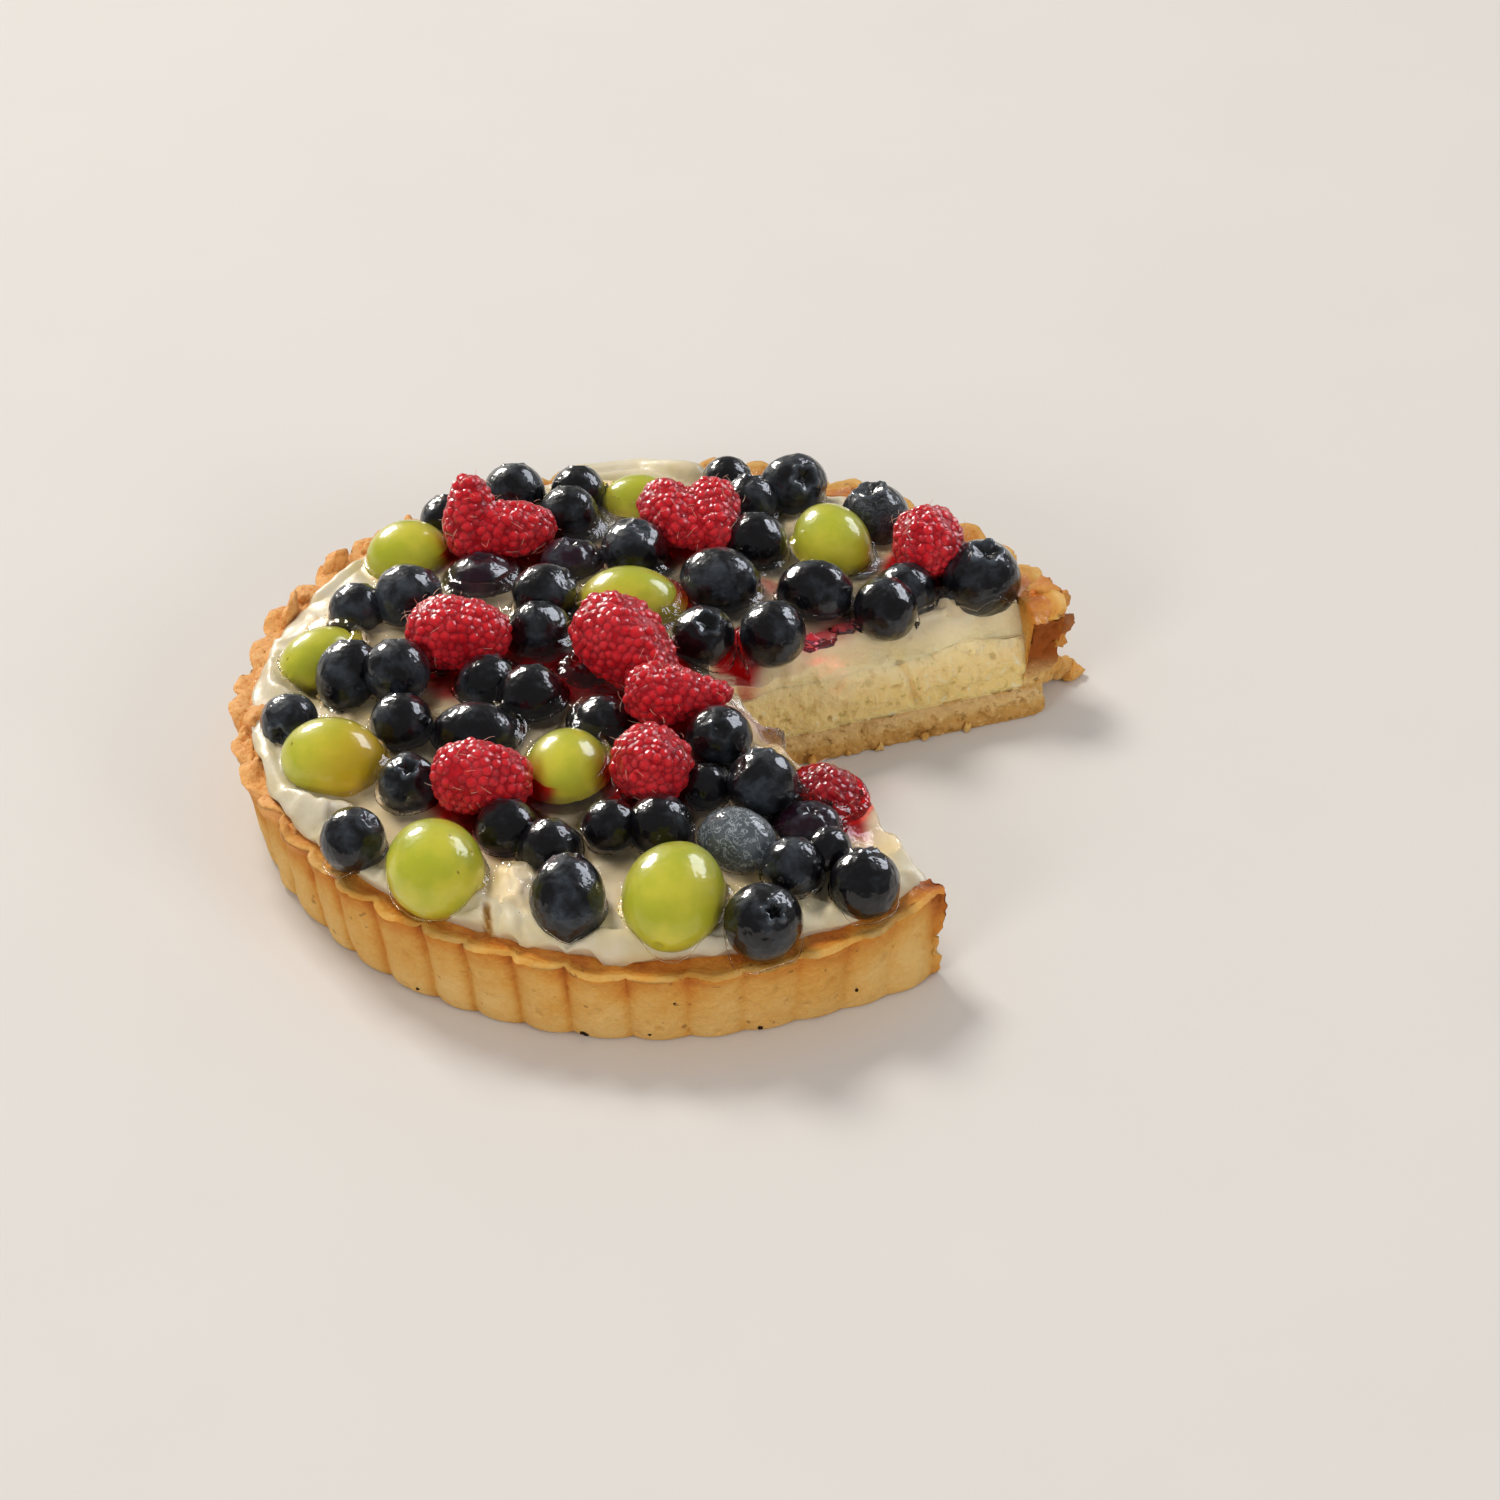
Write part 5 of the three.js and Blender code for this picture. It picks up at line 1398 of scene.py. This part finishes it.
def makeRaspberries(material):
    ball, ballFaces = ballPart(5, 9, 84)
    for index, (name, lobes) in enumerate(sorted(raspberries.items())):
        random = np.random.default_rng(100 + index)
        parts = []
        for lobe in lobes:
            line, _ = lobeOutline(lobe)
            side, other = sideways(lobe["direction"])
            turned = np.array([side, other, lobe["direction"]])
            turn = np.linspace(0, 2 * math.pi, 32, endpoint=False)
            rows = line[::19]
            core = np.vstack([np.c_[wide * np.cos(turn), wide * np.sin(turn), np.full(32, up)]
                              for wide, up in rows])
            reach = np.linalg.norm(core, axis=1)[:, None]
            core = core * (1 - 0.3 / np.maximum(reach, 1))
            zeros = np.zeros(len(core))
            parts.append((lobe["centre"] + core @ turned, gridFaces(len(rows), 32, True)[:, ::-1],
                          {"tipward": zeros, "tone": zeros + 0.5, "hair": zeros}))
            places, normals, room = drupeletPlaces(lobe, random)
            others = [(other["centre"], other["direction"], other["length"] / 2, other["width"] / 2)
                      for other in lobes if other is not lobe]
            seen = places[:, 2] > creamLevel(places[:, 0], places[:, 1]) - 3.5
            if others:
                seen &= awayFrom(places, others) > -1.2
            for place, normal, wide in zip(places[seen], normals[seen], room[seen]):
                first, second = sideways(normal)
                radius = raspberryLook["round"] * min(max(wide, 2.0), 3.1) * random.uniform(0.84, 1.16)
                shape = ball[:, :1] * first + ball[:, 1:2] * second + ball[:, 2:] * normal
                shape = shape * (1 + 0.26 * swells(place + shape * 1.5, 1.7, index + 5))[:, None]
                rise = raspberryLook["rise"] + random.normal(0, 0.14)
                tone = np.full(len(ball), random.uniform(0, 1))
                # tipward also paints shade: the drupelets are darker down into the valleys between them
                tipward = np.clip((ball[:, 2] - 0.45) / 0.55, 0, 1)
                parts.append((place + normal * (rise - radius) + shape * radius, ballFaces,
                              {"tipward": tipward, "tone": tone, "hair": 0 * tone}))
            for pick in random.choice(len(places[seen]), raspberryLook["hairs"]["each"]):
                place, normal = places[seen][pick], normals[seen][pick]
                hair, hairFaces = hairPart(place + 0.4 * normal, normal, random)
                zeros = np.zeros(len(hair))
                parts.append((hair, hairFaces, {"tipward": zeros, "tone": zeros, "hair": zeros + 1}))
        points, faces, labels = joinParts(parts)
        labels["deep"] = np.full(len(points), raspberryLook["dark"].get(name, 0.0))
        middle = points.mean(0)
        points = points + (points - middle) * (0.05 * swells(points, 6.5, 500 + index))[:, None]
        makePiece("raspberry" + name[-2:], points, faces, material, labels, [name])
    print("raspberries:", len(raspberries), "pieces")


def raspberrySkin():
    # raspberry drupelets: thin red skin over juice, each with a small bright glint
    tones = raspberryLook["tones"]
    material, tree, look = newMaterial("raspberrySkin", raspberryLook["grains"],
                                       ("tipward", "tone", "deep", "hair"))
    # painted shade: darker between the drupelets, lighter at their tips
    shade = painted(
        tree, tones["between"],
        (tones["tip"], 1.0, look["tipward"]),
        (tones["darker"], 0.35, look["tone"]),
        (tones["brighter"], 0.55, (look["patch"], 0.45, 0.8)),
        (tones["deep"], 1.0, look["deep"]),
        (tones["hair"], 1.0, look["hair"]))
    # the glaze lies on some drupelets and misses others
    wet = strengthOf(tree, 1.0, look["tipward"], (look["wetPatch"], 0.3, 0.5))
    surface = addNode(tree, "BsdfPrincipled", {
        "Base Color": shade, "Roughness": 0.3, "IOR": 1.4, "Subsurface Weight": 0.6,
        "Subsurface Radius": (1.0, 0.16, 0.12), "Subsurface Scale": 1.8 * mm,
        "Coat Weight": wet, "Coat Roughness": 0.04, "Coat IOR": 1.45, "Specular IOR Level": 0.2,
        "Sheen Weight": 0.12, "Sheen Roughness": 0.4, "Sheen Tint": tones["sheen"]})
    finishMaterial(tree, surface, [(look["skin"], 0.3), (look["fine"], 0.1)])
    return material


glazeLook = {
    "columns": 520, "rings": 92, "usual": 1.2, "uneven": 1.4,
    "climb": 3.5, "climbReach": 1.6, "mostClimb": 4.2, "bareFrom": 77.0,
    "ringLift": 1.3, "ringHalf": 1.1, "ripples": 0.75,
    # a sheet of set glaze that stands along the near cut: distance from the tip, foot, top
    "sheet": [(5, 27.5, 29.4), (9, 26.5, 29.8), (13, 26, 29.4), (17, 25.5, 29.0), (21, 25.0, 29.2),
              (25, 25.0, 30.8), (28, 25.0, 32.4), (30, 26, 29.8)],
    # broken lumps of set glaze: x, y, z, half sizes, degrees round, how red
    "lumps": [(86.8, 32.2, 25.4, (2.6, 1.3, 3.4), 20, 0.2), (37.0, 13.6, 28.8, (5.0, 2.4, 1.1), 24, -2.0),
              (43.0, 17.4, 29.4, (4.0, 2.2, 1.0), 12, -2.0), (35.5, 12.4, 29.6, (1.6, 2.0, 1.3), 60, -2.0)],
    "tones": {"clear": "#fffaf4", "red": "#ea2a38", "sheet": "#d8c9d2", "lump": "#f0a9bb"},
    # size in millimetres, detail, roughness and distortion of each grain
    "grains": {"ripple": (3.6, 3, 0.55, 0)},
}


def sheetPart():
    # the thin bent sheet of glaze along the near cut
    turn = math.radians(plan["nearCut"])
    way = np.array([math.cos(turn), math.sin(turn), 0])
    across = np.array([-math.sin(turn), math.cos(turn), 0])
    places, feet, tops = zip(*glazeLook["sheet"])
    along = np.linspace(places[0], places[-1], 60)
    foot, top = np.interp(along, places, feet), np.interp(along, places, tops)
    rows = []
    for share, side in ((0, 1), (0.5, 1), (0.93, 0.7), (1, 0), (0.93, -0.7), (0.5, -1), (0, -1)):
        height = foot + (top - foot) * share
        bend = 0.5 * np.sin(along * 0.55) + 0.9 * share * np.sin(along * 0.3 + 1)
        flat = np.array([*tip, 0]) + along[:, None] * way + (bend + 0.28 * side - 0.6)[:, None] * across
        flat[:, 2] = height + 0.15 * np.sin(along * 2.1)
        rows.append(flat)
    return np.vstack(rows), gridFaces(len(rows), len(along))


def ringParts():
    # where glaze has crept up round each fruit: an uneven bead along the line where skin and glaze meet
    look = glazeLook
    steps, section = 30, 6
    turn = np.linspace(0, 2 * math.pi, steps)
    ways = np.c_[np.cos(turn), np.sin(turn), 0 * turn]
    spin = np.linspace(0, 2 * math.pi, section, endpoint=False)
    everything = fruits + redFruits
    parts = []
    for index, fruit in enumerate(everything):
        centre = fruit[0]
        level = creamLevel(centre[:1], centre[1:2])[0] + look["ringLift"]
        start = np.array([centre[0], centre[1], level])
        if awayFrom(start[None], [fruit])[0] > -2:
            continue
        near, far = np.zeros(steps), np.full(steps, 18.0)
        for _ in range(18):
            middle = (near + far) / 2
            outside = awayFrom(start + ways * middle[:, None], [fruit]) > 0
            far, near = np.where(outside, middle, far), np.where(outside, near, middle)
        line = start + ways * (near + 0.15)[:, None]
        line[:, 2] = creamTop(line) + look["ringLift"] * 0.7
        others = [other for k, other in enumerate(everything) if k != index]
        clear = smoothStep((awayFrom(line, others) + 0.5) / 0.9)
        covered = 1 - smoothStep((np.hypot(line[:, 0], line[:, 1]) - look["bareFrom"] - 4) / 8)
        uneven = 0.55 + 0.6 * np.abs(roughness(line, 5, 2, 95))
        thick = look["ringHalf"] * uneven * clear * (0.25 + 0.75 * covered)
        thick = thick * (1 - smoothStep(scooped(line[:, 0], line[:, 1]) * 6))
        ring = line[:, None] + thick[:, None, None] * (ways[:, None] * 1.15 * np.cos(spin)[None, :, None]
                                                       + np.array([0, 0, 1.0]) * np.sin(spin)[None, :, None])
        red = smoothStep(1 - awayFrom(line, redFruits) / 6)
        stain = np.repeat(red * 0.8, section)
        parts.append((ring.reshape(-1, 3), gridFaces(steps, section, True), {"stain": stain}))
    return parts


def makeGlaze(material):
    # clear fruit glaze: pools on the cream that climb the fruit, the more where fruit stands close together
    look = glazeLook
    columns, rings = look["columns"], look["rings"]
    turns = planTurns(columns)
    edge = outTo(creamLook["outer"], turns)
    flat = np.vstack([tip + (edge - tip) * s for s in ringShares(rings)])
    level = creamTop(np.c_[flat, np.zeros(len(flat))])
    surface = np.c_[flat, level]
    x, y = flat.T
    radius = np.hypot(x, y)
    climb = np.zeros(len(flat))
    closest = np.full(len(flat), 99.0)
    for fruit in fruits + redFruits:
        near = np.hypot(*(flat - fruit[0][:2]).T) < 20
        away = awayFrom(surface[near], [fruit])
        climb[near] += look["climb"] * np.exp(-np.maximum(away, 0) / look["climbReach"])
        closest[near] = np.minimum(closest[near], away)
    climb = look["mostClimb"] * (1 - np.exp(-climb / look["mostClimb"]))
    pool = look["usual"] + look["uneven"] * roughness(surface, 13, 2, 91)
    bare = smoothStep((radius - look["bareFrom"] + 6 * swells(surface, 17, 92)) / 10)
    bare = np.maximum(bare, smoothStep(np.maximum(scooped(x, y), swoosh(x, y)) * 2.5))
    thick = (pool + climb) * (1 - bare) + bare * (0.55 * climb - 1.3)
    top = surface + np.c_[0 * x, 0 * x, np.maximum(thick, -0.3)]
    bottom = surface - np.c_[0 * x, 0 * x, np.full(len(x), 0.3)]
    wet = (thick > -0.25) & (closest > -1.6)
    faces = gridFaces(rings, columns)
    kept = faces[wet[faces].any(axis=1) & (closest[faces] > -2.4).all(axis=1)]
    near = awayFrom(top, redFruits)
    stain = smoothStep(1 - near / 7.5) * (0.9 + 0.6 * roughness(top, 8, 2, 93))
    stain = np.maximum(stain, juiceAt(top)) * awayFromNearCut(top)
    count = len(top)
    allFaces = np.vstack([kept, kept[:, ::-1] + count])
    # walls where the faces end
    ways = np.vstack([kept[:, [0, 1]], kept[:, [1, 2]], kept[:, [2, 3]], kept[:, [3, 0]]])
    _, first, counts = np.unique(np.sort(ways, axis=1), axis=0, return_index=True, return_counts=True)
    ends = ways[first[counts == 1]]
    walls = np.c_[ends[:, 1], ends[:, 0], ends[:, 0] + count, ends[:, 1] + count]
    allFaces = np.vstack([allFaces, walls])
    used = np.unique(allFaces)
    index = np.zeros(2 * count, int)
    index[used] = np.arange(len(used))
    points = np.vstack([top, bottom])[used]
    points = leaned(tear(points, **fillingLook["torn"]))
    sheet, sheetFaces = sheetPart()
    # stains below zero tell the glaze's own sheet and lumps from the rest
    parts = [(points, index[allFaces], {"stain": np.tile(stain, 2)[used]}),
             (sheet, sheetFaces, {"stain": np.full(len(sheet), -1.0)})]
    for step, (*place, halves, degrees, red) in enumerate(look["lumps"]):
        lump, lumpFaces = lumpPart(place, halves, math.radians(degrees), 301 + step)
        parts.append((lump, lumpFaces, {"stain": np.full(len(lump), red)}))
    points, faces, labels = joinParts(parts + ringParts())
    makePiece("fruitGlaze", points, faces, material, labels)
    print("glaze:", len(faces), "faces")


def clearGlaze():
    # clear fruit jelly: colourless, smooth and wet, tinted red where raspberry juice has run into it
    tones = glazeLook["tones"]
    material, tree, look = newMaterial("clearFruitGlaze", glazeLook["grains"], ("stain",))
    tint = painted(
        tree, tones["clear"],
        (tones["red"], 1.0, (look["stain"], 0.1, 0.75)),
        (tones["sheet"], 1.0, (look["stain"], -0.4, -0.8)),
        (tones["lump"], 1.0, (look["stain"], -1.4, -1.8)))
    relief = {"Height": look["ripple"], "Distance": glazeLook["ripples"] * mm, "Strength": 1.0}
    ripples = addNode(tree, "Bump", relief)
    jelly = addNode(tree, "BsdfPrincipled", {"Base Color": tint, "Roughness": 0.02, "IOR": 1.42,
                                             "Transmission Weight": 1.0, "Normal": ripples})
    clear = addNode(tree, "BsdfTransparent", {"Color": tint})  # lets the lamps' light through to the cream
    lampRay = addNode(tree, "LightPath", output="Is Shadow Ray")
    finishMaterial(tree, addNode(tree, "MixShader", {0: lampRay, 1: jelly, 2: clear}))
    return material


setCamera()
setLight()
makeFloor()
makeCrust(shortcrust())
makeCream(pastryCream())
makeCustard(bakedCustard())
makeBlueberries(blueberrySkin())
makeGrapes(grapeSkin())
makeRaspberries(raspberrySkin())
makeGlaze(clearGlaze())
